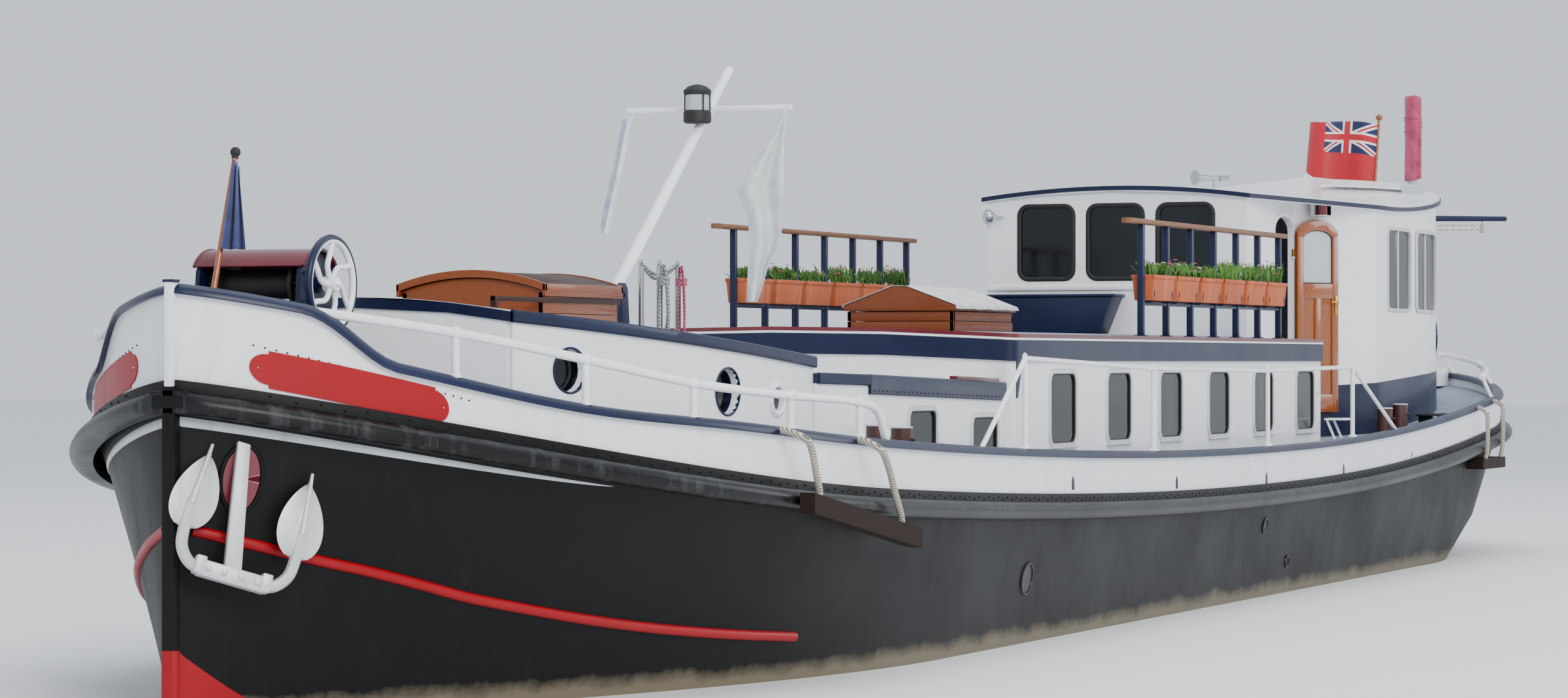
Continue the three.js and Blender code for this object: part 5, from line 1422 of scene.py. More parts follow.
# %% Roof edge bands
low_edge = bmesh.new()
edge_strip(low_edge, low_half, low_top, 5.21, 5.81, EDGE, 12)
FASCIA = [(0.002, -0.12), (0.02, -0.12), (0.024, -0.114), (0.024, 0.006), (0.016, 0.014), (0.002, 0.014)]
edge_strip(low_edge, low_half, low_top, 5.8, 8.49, FASCIA)
emit("low_trunk_fascia", both_sides(low_edge), "navy_gloss", smooth=40)
low_rivets = bmesh.new()
for i in range(33):
    s = 5.86 + 0.08 * i
    rod(low_rivets, at(s, 1.852, low_top(s) - 0.095), at(s, 1.86, low_top(s) - 0.095), 0.008, 0.004, 8)
emit("low_trunk_rivets", both_sides(low_rivets), "navy_gloss")
low_sheet = roof_sheet(8, 5.23, 3.26, low_half, low_top, 0.1, 0.06, 0.93)
emit("low_trunk_top", low_sheet, "house_white")
low_red = bmesh.new()
LOCKER = ((7.6, 0.0), (8.49, 0.0), (8.49, 0.042), (7.6, 0.042))
plate(low_red, [at(s, 1.74, low_top(s) + rise) for s, rise in LOCKER], (0, 0.06, 0), 0.004)
emit("low_trunk_red_locker", both_sides(low_red), "maroon_gloss")


def saloon_line(out):
    """Stations and half breadths from the middle of the saloon's front round its corner and aft."""
    arcs, reach = [pi / 2 * i / 6 for i in range(7)], 0.06 + out
    corner = [(8.56 - reach * cos(a), 1.84 + reach * sin(a)) for a in arcs]
    return [(8.5 - out, 0.9 * i) for i in range(3)] + corner + [(8.56 + 0.843 * i, 1.9 + out) for i in range(1, 11)]


def round_saloon(bm, out, low, high, thick):
    path, inner = saloon_line(out), saloon_line(out - thick)

    def spot(u, v):
        i, j = round(u * (len(path) - 1)), round(v * 4) % 4
        s, y = path[i] if j in (0, 1) else inner[i]
        crown = 0.06 * (1 - (min(abs(y), 1.9) / 1.915) ** 2)
        return at(s, y, (low if j in (0, 3) else high) + crown)

    moulded(bm, len(path) - 1, 4, spot)


for name, out, low, high, look, slot in (
    ("saloon_navy_band", 0.026, 2.0, 2.15, "navy_gloss", "navy_paint"),
    ("saloon_white_line", 0.03, 2.155, 2.172, "house_white", "white_paint"),
    ("saloon_maroon_edge", 0.036, 2.174, 2.2, "maroon_gloss", "red_paint"),
):
    band = bmesh.new()
    round_saloon(band, out, low, high, out - 0.001)
    emit(name, both_sides(band), look, smooth=50)
corner = bmesh.new()
plate(corner, [at(s, 1.901, z) for s, z in ((8.565, 2.0), (8.7, 2.0), (8.6, 1.73), (8.565, 1.73))], (0, 0.004, 0))
emit("saloon_corner_paint", both_sides(corner), "navy_gloss")
vent = bmesh.new()
for i in range(5):
    block(vent, at(16.93, 1.9, 1.71 + 0.03 * i), at(16.84, 1.915, 1.725 + 0.03 * i), 0.004)
block(vent, at(16.94, 1.899, 1.695), at(16.83, 1.906, 1.865), 0.003)
emit("saloon_vents", both_sides(vent), "house_white")
print("bands along both cabins")

# %% [markdown]
# The skylight on the sun deck is two varnished planks high. Its sloped lid wears a white cover that hangs a
# little over the edge in waves. Covers and flags are sheets of cloth, so one helper lays them out from a rule,
# measures the cloth and prints its flat size.

# %% Skylight and the cloth helper


def cloth(name, look, columns, rows, place, length, body="boat", thick=0.003):
    bm = bmesh.new()
    bm.loops.layers.uv.new("weave")
    moulded(bm, columns, rows, place)
    bmesh.ops.remove_doubles(bm, verts=bm.verts, dist=2e-5)
    area = sum(f.calc_area() for f in bm.faces)
    piece = emit(name, bm, look, body, smooth=180)
    hem = piece.modifiers.new("thickness", "SOLIDIFY")
    hem.thickness = thick
    hem.offset = 1
    print(name, "is", round(area / length, 3), "by", length, "m flat")
    return piece


coaming = bmesh.new()
for low, high in ((2.235, 2.318), (2.322, 2.398)):
    for y in (-0.355, 0.52):
        block(coaming, at(12.305, y, low), at(10.895, y + 0.035, high), 0.004)
    for s in (10.93, 12.305):
        block(coaming, at(s, -0.355, low), at(s - 0.035, 0.555, high), 0.004)
emit("skylight_planks", coaming, "varnish", nodes=["skylight_coaming"])
LID_SIDES = [(-0.378, 2.403), (-0.378, 2.442), (0.04, 2.598), (0.16, 2.598), (0.578, 2.442), (0.578, 2.403)]
lid = bmesh.new()
plate(lid, [at(10.872, y, z) for y, z in LID_SIDES], (-1.456, 0, 0), 0.004)
emit("skylight_lid_panel", lid, "varnish", body="skylight_lid", nodes=["skylight_lid"])
COVER = [(-0.384, 2.43), (-0.384, 2.446), (0.038, 2.603), (0.162, 2.603), (0.584, 2.446), (0.586, 2.42)]


def cover_spot(u, v):
    s = 10.865 + 1.47 * u
    across = v * (len(COVER) - 1)
    k = min(len(COVER) - 2, int(across))
    (y0, z0), (y1, z1) = COVER[k], COVER[k + 1]
    part = across - k
    wave = 0.012 * sin(46 * u) * max(0, v - 0.8) * 5
    return at(
        s, y0 + (y1 - y0) * part + max(0, wave), z0 + (z1 - z0) * part - 0.3 * abs(wave) + 0.002 * sin(23 * u + 9 * v)
    )


cloth(
    "skylight_cover", "canvas_white", 60, 40, cover_spot, 1.47, body="skylight_lid",
)

# %% [markdown]
# Each sun deck rail has navy posts, a lower bar and a broad teak cap with a round fore end. Between the posts
# stand six clay troughs in dark hooks, full of soil, leaves and small flowers.

# %% Sun deck rails and troughs
SUN_POSTS = [11.91 + 0.676 * i for i in range(7)]
bars = bmesh.new()
for s in SUN_POSTS:
    block(bars, at(s + 0.026, 1.764, 2.2), at(s - 0.026, 1.816, 3.11), 0.006)
    block(bars, at(s + 0.045, 1.745, 2.2), at(s - 0.045, 1.835, 2.212), 0.003)
block(bars, at(15.99, 1.772, 2.452), at(11.89, 1.808, 2.49), 0.005)
emit("sun_rail_bars", both_sides(bars), "navy_gloss", nodes=["sun_rail_port", "sun_rail_starboard"])
caps = bmesh.new()
block(caps, at(16.148, 1.746, 3.106), at(11.545, 1.834, 3.148), 0.014)
rod(caps, at(11.545, 1.79, 3.106), at(11.545, 1.79, 3.148), 0.0438, sides=32)
emit("sun_rail_caps", both_sides(caps), "teak_cap", smooth=40)


def chance(*numbers):
    """An even spread of numbers from 0 to 1 that is the same in every run."""
    return (sin(sum(n * k for n, k in zip(numbers, (12.9898, 78.233, 37.719, 9.151)))) * 43758.5453) % 1


troughs, earth, hooks, leaves, blooms, buds = (bmesh.new() for _ in range(6))
TROUGH_HALF, TROUGH_WIDE, RAIL_Y = 0.292, 0.092, 1.79


def trough(bm, s):
    """A trough that narrows downwards, with a lip of four strips."""
    near, far = RAIL_Y - TROUGH_WIDE, RAIL_Y + TROUGH_WIDE
    for v in block(bm, at(s + TROUGH_HALF, near, 2.492), at(s - TROUGH_HALF, far, 2.68), 0.006):
        tighten = 0.1 * (2.68 - v.co.z) / 0.188
        v.co.x += (at(s, 0, 0).x - v.co.x) * tighten * 0.6
        v.co.y += (RAIL_Y - v.co.y) * tighten * 1.6
    for low, high in ((near - 0.006, near + 0.012), (far - 0.012, far + 0.006)):
        block(bm, at(s + TROUGH_HALF + 0.004, low, 2.668), at(s - TROUGH_HALF - 0.004, high, 2.7), 0.004)
    for end in (TROUGH_HALF + 0.004, -TROUGH_HALF + 0.014):
        block(bm, at(s + end, near, 2.668), at(s + end - 0.018, far, 2.7), 0.004)


def leaf(bm, foot, tip, width, bend):
    way = Vector(tip) - Vector(foot)
    side = way.cross(UP + Vector((0.3, 0.2, 0))).normalized() * width
    middle = Vector(foot) + way * 0.55 + UP * bend
    spots = [bm.verts.new(p) for p in (foot, middle + side, tip, middle - side)]
    bm.faces.new(spots)


HOOK = ((1.87, 2.575), (1.872, 2.545), (1.862, 2.49), (1.84, 2.478), (1.80, 2.482))
for i in range(6):
    s = (SUN_POSTS[i] + SUN_POSTS[i + 1]) / 2
    trough(troughs, s)
    long, wide = TROUGH_HALF - 0.01, TROUGH_WIDE - 0.01
    block(earth, at(s + long, RAIL_Y - wide, 2.672), at(s - long, RAIL_Y + wide, 2.684), 0)
    for far in (-0.24, 0.24):
        tube(hooks, [at(s + far, y, z) for y, z in HOOK], 0.007, 8)
    tall = 0.11 + 0.1 * chance(i, 3)
    for k in range(150):
        a, r, h = 2 * pi * chance(i, k), 0.3 * chance(k, i, 1), tall * (0.35 + 0.65 * chance(k, i, 2))
        x0 = s + (chance(i, k, 5) * 2 - 1) * (TROUGH_HALF - 0.03)
        y0 = RAIL_Y + (chance(i, k, 6) * 2 - 1) * (TROUGH_WIDE - 0.02)
        foot = at(x0, y0, 2.684)
        tip = foot + Vector((r * cos(a) * 0.35, r * sin(a) * 0.3, h))
        leaf(leaves, foot, tip, 0.006 + 0.008 * chance(k, 7), 0.02)
        if k % 12 == 0:
            heads = blooms if (i + k // 12) % 3 else buds
            for m in range(5):
                b = 2 * pi * m / 5
                ball(heads, tip + Vector((0.011 * cos(b), 0.011 * sin(b), 0.006)), 0.008, 0.6, 1)
emit("planter_troughs", both_sides(troughs), "clay")
emit("planter_soil", both_sides(earth), "soil")
emit("planter_hooks", both_sides(hooks), "navy_gloss", smooth=60)
emit("planter_leaves", both_sides(leaves), "leaf_green")
emit("planter_flowers", both_sides(blooms), "petal_pink", smooth=60)
emit("planter_white_flowers", both_sides(buds), "petal_white", smooth=60)
print("two rails of", len(SUN_POSTS), "posts, six troughs each")

# %% [markdown]
# The wheelhouse is white over a navy foot. Its sides follow the same plan line as the walls, so a band at any
# height is a strip swept along that line. A dark line edges the roof, and the windows sit in rings.

# %% Wheelhouse bands and roof edge


def house_half(s):
    if s <= 18.25:
        return 1.27 + 0.03 * (s - 16.75) / 1.5
    if s <= 19.33:
        return 1.3 + 0.53 * (s - 18.25) / 1.08
    into = max(0, s - 20.9) / 2.7
    return (1.83 + 0.01 * min(1, (s - 19.33) / 1.57)) * sqrt(max(0, 1 - into**3))


def roof_half(s):
    return 1.31 + 0.56 * (s - 16.75) / 2.58 if s <= 19.33 else house_half(s - 0.01) + 0.04


def house_top(s):
    return 3.56 - max(0, s - 16.75) * 0.011 + 0.024 * max(0, s - 19.3) ** 2


def wall_band(bm, half, stations, low, high, out, inner=-0.004):
    def spot(u, v):
        s = stations[round(u * (len(stations) - 1))]
        near = round(v * 4) % 4
        return at(s, max(0.0, half(s) + (out if near in (1, 2) else inner)), low(s) if near in (0, 1) else high(s))

    moulded(bm, len(stations) - 1, 4, spot)
    for s in (stations[0], stations[-1]):
        section = ((inner, low(s)), (out, low(s)), (out, high(s)), (inner, high(s)))
        bm.faces.new([bm.verts.new(at(s, half(s) + o, z)) for o, z in section])


foot = bmesh.new()
AFT_RUN = [19.33 + 0.3 * i for i in range(1, 12)]
FOOT_RUN = [18.252, 18.6, 19.0, 19.33, *AFT_RUN, 22.8, 23.0, 23.2, 23.35, 23.48, 23.56, 23.59]


def foot_low(s):
    return deck_at(s, house_half(s)) + 0.004


wall_band(foot, house_half, FOOT_RUN, foot_low, lambda s: 1.79 + (s - 19.33) * 0.04, 0.006)
emit("wheelhouse_foot_band", both_sides(foot), "navy_gloss", smooth=30)
edge = bmesh.new()
EDGE_RUN = [16.712, 17.5, 18.25, 18.8, 19.33, *AFT_RUN, 22.9, 23.15, 23.3, 23.45, 23.55, 23.59]
wall_band(edge, roof_half, EDGE_RUN, lambda s: house_top(s) - 0.052, lambda s: house_top(s) - 0.012, 0.01)
emit("wheelhouse_roof_line", both_sides(edge), "navy_gloss", smooth=30)
front_y = [1.31 * (2 * i / 20 - 1) for i in range(21)]


def front_edge(y, drop):
    return at(16.708, y, house_top(16.7) - drop + 0.09 * (1 - (y / 1.31) ** 2))


edge = bmesh.new()
under, over = [front_edge(y, 0.052) for y in front_y], [front_edge(y, 0.012) for y in reversed(front_y)]
plate(edge, under + over, (0.01, 0, 0), 0)
emit("wheelhouse_front_line", edge, "navy_gloss")
ledge = bmesh.new()
block(ledge, at(16.752, -1.262, 2.665), at(16.725, 1.262, 2.71), 0.008)
emit("wheelhouse_ledge", ledge, "house_white")
locker = bmesh.new()
plate(
    locker, [at(16.42, y, z) for y, z in ((-1.19, 2.262), (-0.06, 2.262), (0.08, 2.6), (-1.19, 2.6))], (-0.32, 0, 0),
    0.012
)
block(locker, at(16.745, -1.2, 2.6), at(16.4, 0.1, 2.625), 0.008)
emit("sun_deck_locker", locker, "navy_gloss")
print("wheelhouse bands up to", round(house_top(23.5), 2), "m")

# %% [markdown]
# Black rubber holds the three front panes, and pale rings hold the side panes and the round ones aft. The
# after portholes are cut in a wall that slopes away, so their circle is stretched along it.

# %% Wheelhouse windows
trims, house_frames, house_panes, after_rings = bmesh.new(), bmesh.new(), bmesh.new(), bmesh.new()
RUBBER = [(-0.022, -0.03), (-0.022, 0.004), (-0.01, 0.013), (0.012, 0.012), (0.02, 0.003)]
RUBBER += [(0.02, -0.003), (-0.006, -0.003), (-0.006, -0.03)]
for y in (-0.68, 0.0, 0.68):
    place = on_wall(at(16.75, y, 3.115), (1, 0, 0))
    loop = rounded(0.54, 0.69, 0.09)
    frame_ring(trims, loop, RUBBER, place)
    pane(house_panes, [(p - 0.008 * w, w) for p, w in loop], -0.02, place)
emit("front_window_rubbers", trims, "rubber_black", smooth=50)
emit("front_window_panes", house_panes, "pane_dark")
side_panes = bmesh.new()


def on_house_wall(s, z):
    """The place of a point on the wall, and how much longer the wall is there than its plan."""
    slope = slope_at(house_half, s)
    return on_wall(at(s, house_half(s), z), (slope, 1, 0)), sqrt(1 + slope * slope)


for s in (20.21, 21.33):
    place, _ = on_house_wall(s, 2.91)
    loop = rounded(0.9, 0.8, 0.09)
    frame_ring(house_frames, loop, FRAME, place)
    pane(side_panes, [(p - 0.008 * w, w) for p, w in loop], -0.02, place)
    ends = [place @ Vector((-0.02, y, -0.012)) for y in (-0.39, 0.39)]
    beam(house_frames, *ends, 0.03, 0.02, 0.003)
place, longer = on_house_wall(22.6, 2.25)
circle = round_loop(0.225 * longer, 0.225, 48)
frame_ring(after_rings, circle, SLEEVE, place)
pane(side_panes, circle, -0.07, place)
emit("house_window_frames", both_sides(house_frames), "window_metal", smooth=40)
emit("house_side_panes", both_sides(side_panes), "pane_dark")
emit("after_porthole_rings", both_sides(after_rings), "navy_gloss", smooth=50)
print("three front windows, two side windows and a porthole a side")

# %% [markdown]
# A door leaf is drawn shut and then turned about its hinge line, which is how it is hung. Stiles, rails, two
# sunk panels and a pane under an arched head make the leaf, with a brass lever and its plate.

# %% Doors
HINGE = Vector((12.5 - 18.215, 1.305, 0))
LEAF = {"width": 0.59, "height": 1.85, "sill": 1.51, "thick": 0.045, "rise": 0.13}


def leaf_spot(u, w, depth):
    """A point of the shut port leaf: along from the hinge, up from the sill, in from the outer face."""
    return Vector((HINGE.x + 0.005 + u, HINGE.y - 0.008 - depth, LEAF["sill"] + w))


def leaf_box(bm, u0, u1, w0, w1, d0=0.002, d1=0.043, ease=0.004):
    block(bm, leaf_spot(u0, w0, d1), leaf_spot(u1, w1, d0), ease)


def arched(half, spring, rise, count=14):
    return [(0.295 - half * cos(pi * i / count), spring + rise * sin(pi * i / count)) for i in range(count + 1)]


def door_parts(turn):
    wood_bm, glass_bm, metal_bm, bead_bm = bmesh.new(), bmesh.new(), bmesh.new(), bmesh.new()
    for u0, u1 in ((0.0, 0.09), (0.5, 0.59)):
        leaf_box(wood_bm, u0, u1, 0.0, 1.7)
    leaf_box(wood_bm, 0.088, 0.502, 0.0, 0.17)
    leaf_box(wood_bm, 0.088, 0.502, 1.09, 1.235)
    leaf_box(wood_bm, 0.255, 0.335, 0.168, 1.092)
    leaf_box(wood_bm, 0.08, 0.51, 0.16, 1.1, 0.016, 0.029, 0)
    head = arched(0.295, 1.69, LEAF["rise"] + 0.028) + list(reversed(arched(0.207, 1.66, 0.085)))
    plate(wood_bm, [leaf_spot(u, w, 0.043) for u, w in head], (0, 0.041, 0), 0.003)
    window = [(0.088, 1.24), (0.502, 1.24)] + list(reversed(arched(0.207, 1.66, 0.085)))
    plate(glass_bm, [leaf_spot(u, w, 0.026) for u, w in window], (0, 0.006, 0))
    for depth in (0.008, 0.037):
        tube(bead_bm, [leaf_spot(u, w, depth) for u, w in window], 0.006, 8, True)
    for side in (-1, 1):
        depth = 0.0225 + side * 0.026
        rod(metal_bm, leaf_spot(0.548, 1.06, 0.0225), leaf_spot(0.548, 1.06, 0.0225 + side * 0.06), 0.009)
        tube(metal_bm, [leaf_spot(u, 1.06, 0.0225 + side * 0.06) for u in (0.552, 0.5, 0.46, 0.44)], 0.009, 10)
        block(metal_bm, leaf_spot(0.53, 0.94, depth + 0.003), leaf_spot(0.566, 1.12, depth - 0.003), 0.001)
    for w in (0.25, 1.5):
        rod(metal_bm, leaf_spot(-0.005, w - 0.02, -0.008), leaf_spot(-0.005, w + 0.06, -0.008), 0.012)
    for bm in (wood_bm, glass_bm, metal_bm, bead_bm):
        bmesh.ops.transform(bm, matrix=turn, verts=bm.verts)
    return wood_bm, glass_bm, metal_bm, bead_bm


laid_open = Matrix.Translation(HINGE) @ Matrix.Rotation(radians(154), 4, "Z") @ Matrix.Translation(-HINGE)
for side, turn in (("port", laid_open), ("starboard", Matrix.Scale(-1, 4, (0, 1, 0)))):
    body = "door_" + side
    wood_bm, glass_bm, metal_bm, bead_bm = door_parts(turn)
    emit(f"door_leaf_{side}", wood_bm, "varnish_upright", body=body, nodes=[body])
    emit(f"door_pane_{side}", glass_bm, "pane_smoke", body=body)
    emit(f"door_lever_{side}", metal_bm, "brass", body=body, smooth=40)
    emit(f"door_bead_{side}", bead_bm, "varnish_dark", body=body, smooth=60)
frames = bmesh.new()
arch_line = [(17.91 - 0.312 * cos(pi * i / 12), 3.235 + 0.142 * sin(pi * i / 12)) for i in range(13)]
outline = [(17.598, 1.5)] + arch_line + [(18.222, 1.5)]


def door_frame_spot(u, v):
    s, z = outline[round(u * (len(outline) - 1))]
    centre = Vector((17.91, 2.4))
    way = (Vector((s, z)) - centre).normalized()
    corner = round(v * 4) % 4
    reach = 0.0 if corner in (0, 3) else 0.035
    return at(s + way.x * reach, house_half(s) + (0.002 if corner in (0, 1) else 0.016), z + max(0, way.y) * reach)


moulded(frames, len(outline) - 1, 4, door_frame_spot)
emit("doorway_mouldings", both_sides(frames), "house_white", smooth=50)
print("two doors, the port one laid open by 154 degrees")

# %% [markdown]
# Small gear on the wheelhouse: a side light in its steel box, a horn, a hatch with a handle, a ring, a chrome
# lamp at the fore corner. The flue is a grey pipe in a gathered pink sleeve of cloth.

# %% Roof gear and flue
box_bm, glow, chrome = bmesh.new(), bmesh.new(), bmesh.new()
block(box_bm, at(18.58, 1.44, 3.385), at(18.34, 1.47, 3.555), 0.003)
block(box_bm, at(18.58, 1.46, 3.385), at(18.56, 1.585, 3.555), 0.003)
block(box_bm, at(18.56, 1.46, 3.385), at(18.34, 1.585, 3.4), 0.003)
block(box_bm, at(18.56, 1.46, 3.54), at(18.34, 1.585, 3.555), 0.003)
rod(glow, at(18.45, 1.525, 3.402), at(18.45, 1.525, 3.538), 0.046, sides=28)
for i in range(5):
    rod(glow, at(18.45, 1.525, 3.412 + 0.026 * i), at(18.45, 1.525, 3.42 + 0.026 * i), 0.052, sides=28)
emit("side_light_boxes", both_sides(box_bm), "anchor_silver")
emit("side_light_lenses", both_sides(glow), "lamp_red", smooth=40)
rod(chrome, at(17.12, 0.66, 3.72), at(17.16, 0.69, 3.72), 0.07, 0.045, 32)
rod(chrome, at(17.16, 0.69, 3.72), at(17.36, 0.83, 3.72), 0.034, 0.016, 24)
rod(chrome, at(17.36, 0.83, 3.72), at(17.44, 0.885, 3.72), 0.03, 0.03, 24)
rod(chrome, at(17.3, 0.79, 3.6), at(17.3, 0.79, 3.71), 0.012)
rod(chrome, at(17.3, 0.79, 3.595), at(17.3, 0.79, 3.61), 0.04)
rod(chrome, at(16.66, -1.16, 3.36), at(16.58, -1.2, 3.36), 0.03, 0.075, 32)
rod(chrome, at(16.75, -1.12, 3.36), at(16.62, -1.17, 3.36), 0.014)
ball(chrome, at(16.585, -1.195, 3.36), 0.06, 1.0, 3)
emit("horn_and_lamp", chrome, "tube_steel", smooth=50)
fittings = bmesh.new()


def on_roof(s, y, rise=0.0):
    return at(s, y, house_top(s) + 0.09 * (1 - (y / house_half(s)) ** 2) + rise)


moulded(fittings, 8, 8, lambda u, v: on_roof(22.5 + 0.5 * u, 0.42 + 0.93 * v, 0.028), 0.024)
HANDLE = ((1.2, 0.02), (1.2, 0.075), (1.26, 0.075), (1.26, 0.02))
tube(fittings, [on_roof(22.85, y, rise) for y, rise in HANDLE], 0.008, 8)
hoop(fittings, on_roof(23.2, 0.08, 0.035), (0, 0.035, 0), (0, 0, 0.035), 0.007, 18)
emit("roof_hatch_and_ring", fittings, "house_white")
pipe = bmesh.new()
FLUE_S, FLUE_Y = 22.55, 1.4
rod(pipe, at(FLUE_S, FLUE_Y, 3.8), at(FLUE_S, FLUE_Y, 4.75), 0.058, sides=40)
block(pipe, at(FLUE_S + 0.1, FLUE_Y - 0.1, 3.756), at(FLUE_S - 0.1, FLUE_Y + 0.1, 3.858), 0.006)
emit("flue_pipe", pipe, "strip_grey", smooth=50, nodes=["flue"])


def sleeve_spot(u, v):
    a = 2 * pi * u
    height = 3.915 + 0.875 * min(1, v / 0.93)
    gather = sum(max(0, 1 - abs(height - h) / 0.022) for h in (4.42, 4.47, 4.52, 4.56))
    r = 0.08 + 0.004 * sin(5 * a + 3 * height)
    r = r + 0.009 * gather * (1 + 0.5 * sin(3 * a + 40 * height)) + 0.006 * cos(4 * a)
    r *= 1 - 0.13 * (height > 4.78)
    if v > 0.93:
        r *= max(0, (1 - v) / 0.07)
    lift = 0.006 * sin(3 * a) * (height > 4.5) + 0.02 * sin(a + 1) * (height < 3.93)
    return at(FLUE_S + r * cos(a), FLUE_Y + r * sin(a), height + lift)


cloth("flue_sleeve", "canvas_pink", 72, 90, sleeve_spot, 0.97)
print("roof gear and flue in place")

# %% [markdown]
# Flags are sheets whose plan is a wavy line: the cloth follows it from the hoist to the fly. The ensign has a
# red field with a crossed canton, drawn by a node group that reads the sheet's own flat coordinates.

# %% Flags
cantons, cantons_in, cantons_out = new_group(
    "canton", {"Field": "#b81c2b", "Ground": "#1b2450", "Bars": "#e9e9ea"}, {"Gloss": 0.85}
)
flat = put(cantons, "ShaderNodeSeparateXYZ", ((0, cantons.nodes.new("ShaderNodeTexCoord").outputs["UV"]),))


def cross(wide):
    return maths(
        cantons, "MAXIMUM", maths(cantons, "LESS_THAN", across, wide * 0.5), maths(cantons, "LESS_THAN", upward, wide)
    )


across = maths(cantons, "ABSOLUTE", maths(cantons, "MULTIPLY_ADD", flat.outputs[0], 4.0, -1.0))
upward = maths(cantons, "ABSOLUTE", maths(cantons, "MULTIPLY_ADD", flat.outputs[1], 4.0, -3.0))
corner = maths(cantons, "ABSOLUTE", maths(cantons, "SUBTRACT", across, upward))
inside = maths(
    cantons, "MULTIPLY", maths(cantons, "LESS_THAN", flat.outputs[0], 0.5),
    maths(cantons, "GREATER_THAN", flat.outputs[1], 0.5)
)
pattern = mixed(
    cantons, maths(cantons, "LESS_THAN", corner, 0.2), cantons_in.outputs["Ground"], cantons_in.outputs["Bars"]
)
pattern = mixed(cantons, maths(cantons, "LESS_THAN", corner, 0.06), pattern, cantons_in.outputs["Field"])
pattern = mixed(cantons, cross(0.32), pattern, cantons_in.outputs["Bars"])
pattern = mixed(cantons, cross(0.19), pattern, cantons_in.outputs["Field"])
cantons.links.new(mixed(cantons, inside, cantons_in.outputs["Field"], pattern), cantons_out.inputs["Color"])
cantons.links.new(cantons_in.outputs["Gloss"], cantons_out.inputs["Roughness"])
finish("ensign_cloth", cantons, bump=0, Sheen_Weight=0.2)
STERN_STAFF = {"s": 24.42, "y": 0.4, "low": 2.25, "top": 4.7, "lean": 0.255}


def staff_at(z):
    return at(STERN_STAFF["s"] + STERN_STAFF["lean"] * (z - STERN_STAFF["low"]), STERN_STAFF["y"], z)


pole = bmesh.new()
rod(pole, staff_at(STERN_STAFF["low"] - 0.06), staff_at(STERN_STAFF["top"]), 0.022, 0.015, 20)
ball(pole, staff_at(STERN_STAFF["top"] + 0.03), 0.04, 0.9, 3)
rod(pole, staff_at(STERN_STAFF["low"] - 0.04), staff_at(STERN_STAFF["low"] + 0.2), 0.034, sides=20)
emit("ensign_staff", pole, "varnish_upright", smooth=50)
ACROSS, TOWARDS = Vector((0.386, -0.922, 0)), Vector((0.922, 0.386, 0))
FLY = [(0, 0), (0.17, 0.06), (0.34, -0.05), (0.5, 0.04), (0.61, 0.15), (0.71, 0.1), (0.76, -0.04)]
FLY += [(0.7, -0.15), (0.59, -0.12)]
JACK = [(0, 0), (-0.03, 0.05), (-0.06, -0.05), (-0.09, 0.05), (-0.12, -0.04), (-0.15, 0.03)]
NARROW = [(0, 0), (0.03, 0.05), (0.05, -0.04), (0.08, 0.04)]


def flown(folds, top, low, rise):
    """The rule of a flag: its hoist runs from low to top, and its cloth follows the folds."""
    line = smooth_path([(*fold, 0) for fold in folds], 8)

    def spot(u, v):
        k = min(int(u * (len(line) - 1)), len(line) - 2)
        fold = Vector(line[k]).lerp(Vector(line[k + 1]), u * (len(line) - 1) - k)
        return low.lerp(top, v) + UP * rise(u, v) + ACROSS * fold.x + TOWARDS * fold.y

    return spot


def ensign_rise(u, v):
    return 0.05 * sin(pi * u) * v + 0.3 * u**1.5 * (1 - v) + 0.02 * sin(9 * u)


ensign_spot = flown(FLY, staff_at(4.64), staff_at(3.92), ensign_rise)
cloth("ensign", "ensign_cloth", 96, 36, ensign_spot, 1.35)
jack_line = flown(JACK, at(0.65, 0, 3.15), at(0.49, 0, 2.63), lambda u, v: -0.06 * u * v)


def jack_spot(u, v):
    return jack_line(u, v) + 0.12 * u * v * ACROSS


cloth("jack", "flag_blue", 48, 30, jack_spot, 0.42)
YARD_PORT, YARD_STARBOARD = along_mast(YARD, 0.6), along_mast(YARD, -0.6)
hung_top, hung_low = YARD_STARBOARD + Vector((0, 0, -0.05)), YARD_STARBOARD + Vector((0.2, -0.1, -0.9))
narrow_spot = flown(NARROW, hung_top, hung_low, lambda u, v: 0.02 * sin(9 * v) * u)
cloth("narrow_flag", "stripe_cloth", 24, 60, narrow_spot, 0.25, body="mast")
PENNANT = [(0.0, 0.01, 0.0), (0.12, 0.09, 0.01), (0.4, 0.35, 0.02), (0.55, 0.27, 0.03), (0.66, 0.26, 0.03)]
PENNANT += [(0.8, 0.27, 0.12), (1.0, 0.28, 0.2)]


def pennant_spot(u, v):
    """Each row of PENNANT gives a height and how far the left and the right edge hang out there."""
    (h0, l0, r0), (h1, l1, r1) = next((a, b) for a, b in zip(PENNANT, PENNANT[1:]) if v <= b[0])
    part = (v - h0) / (h1 - h0)
    left, right = l0 + (l1 - l0) * part, r0 + (r1 - r0) * part
    depth = 0.05 * sin(9 * u + 3 * v) * min(1, 3 * v)
    hang = YARD_PORT + Vector((0, 0, -0.05 - 1.34 * v))
    return hang + ACROSS * (right + (left - right) * u) + TOWARDS * depth


cloth("pennant", "pennant_cloth", 30, 60, pennant_spot, 1.34, body="mast")
print("ensign, jack, narrow flag and pennant hung")

# %% [markdown]
# Bollards stand in pairs on a base plate: brown posts with pale, worn tops and a pin through each. Near the
# stern a navy column carries the boom, whose tackle hangs under it and turns with it.

# %% Bollards and boom


def on_deck(s, y, rise):
    return at(s, y, deck_at(s, y) + rise)


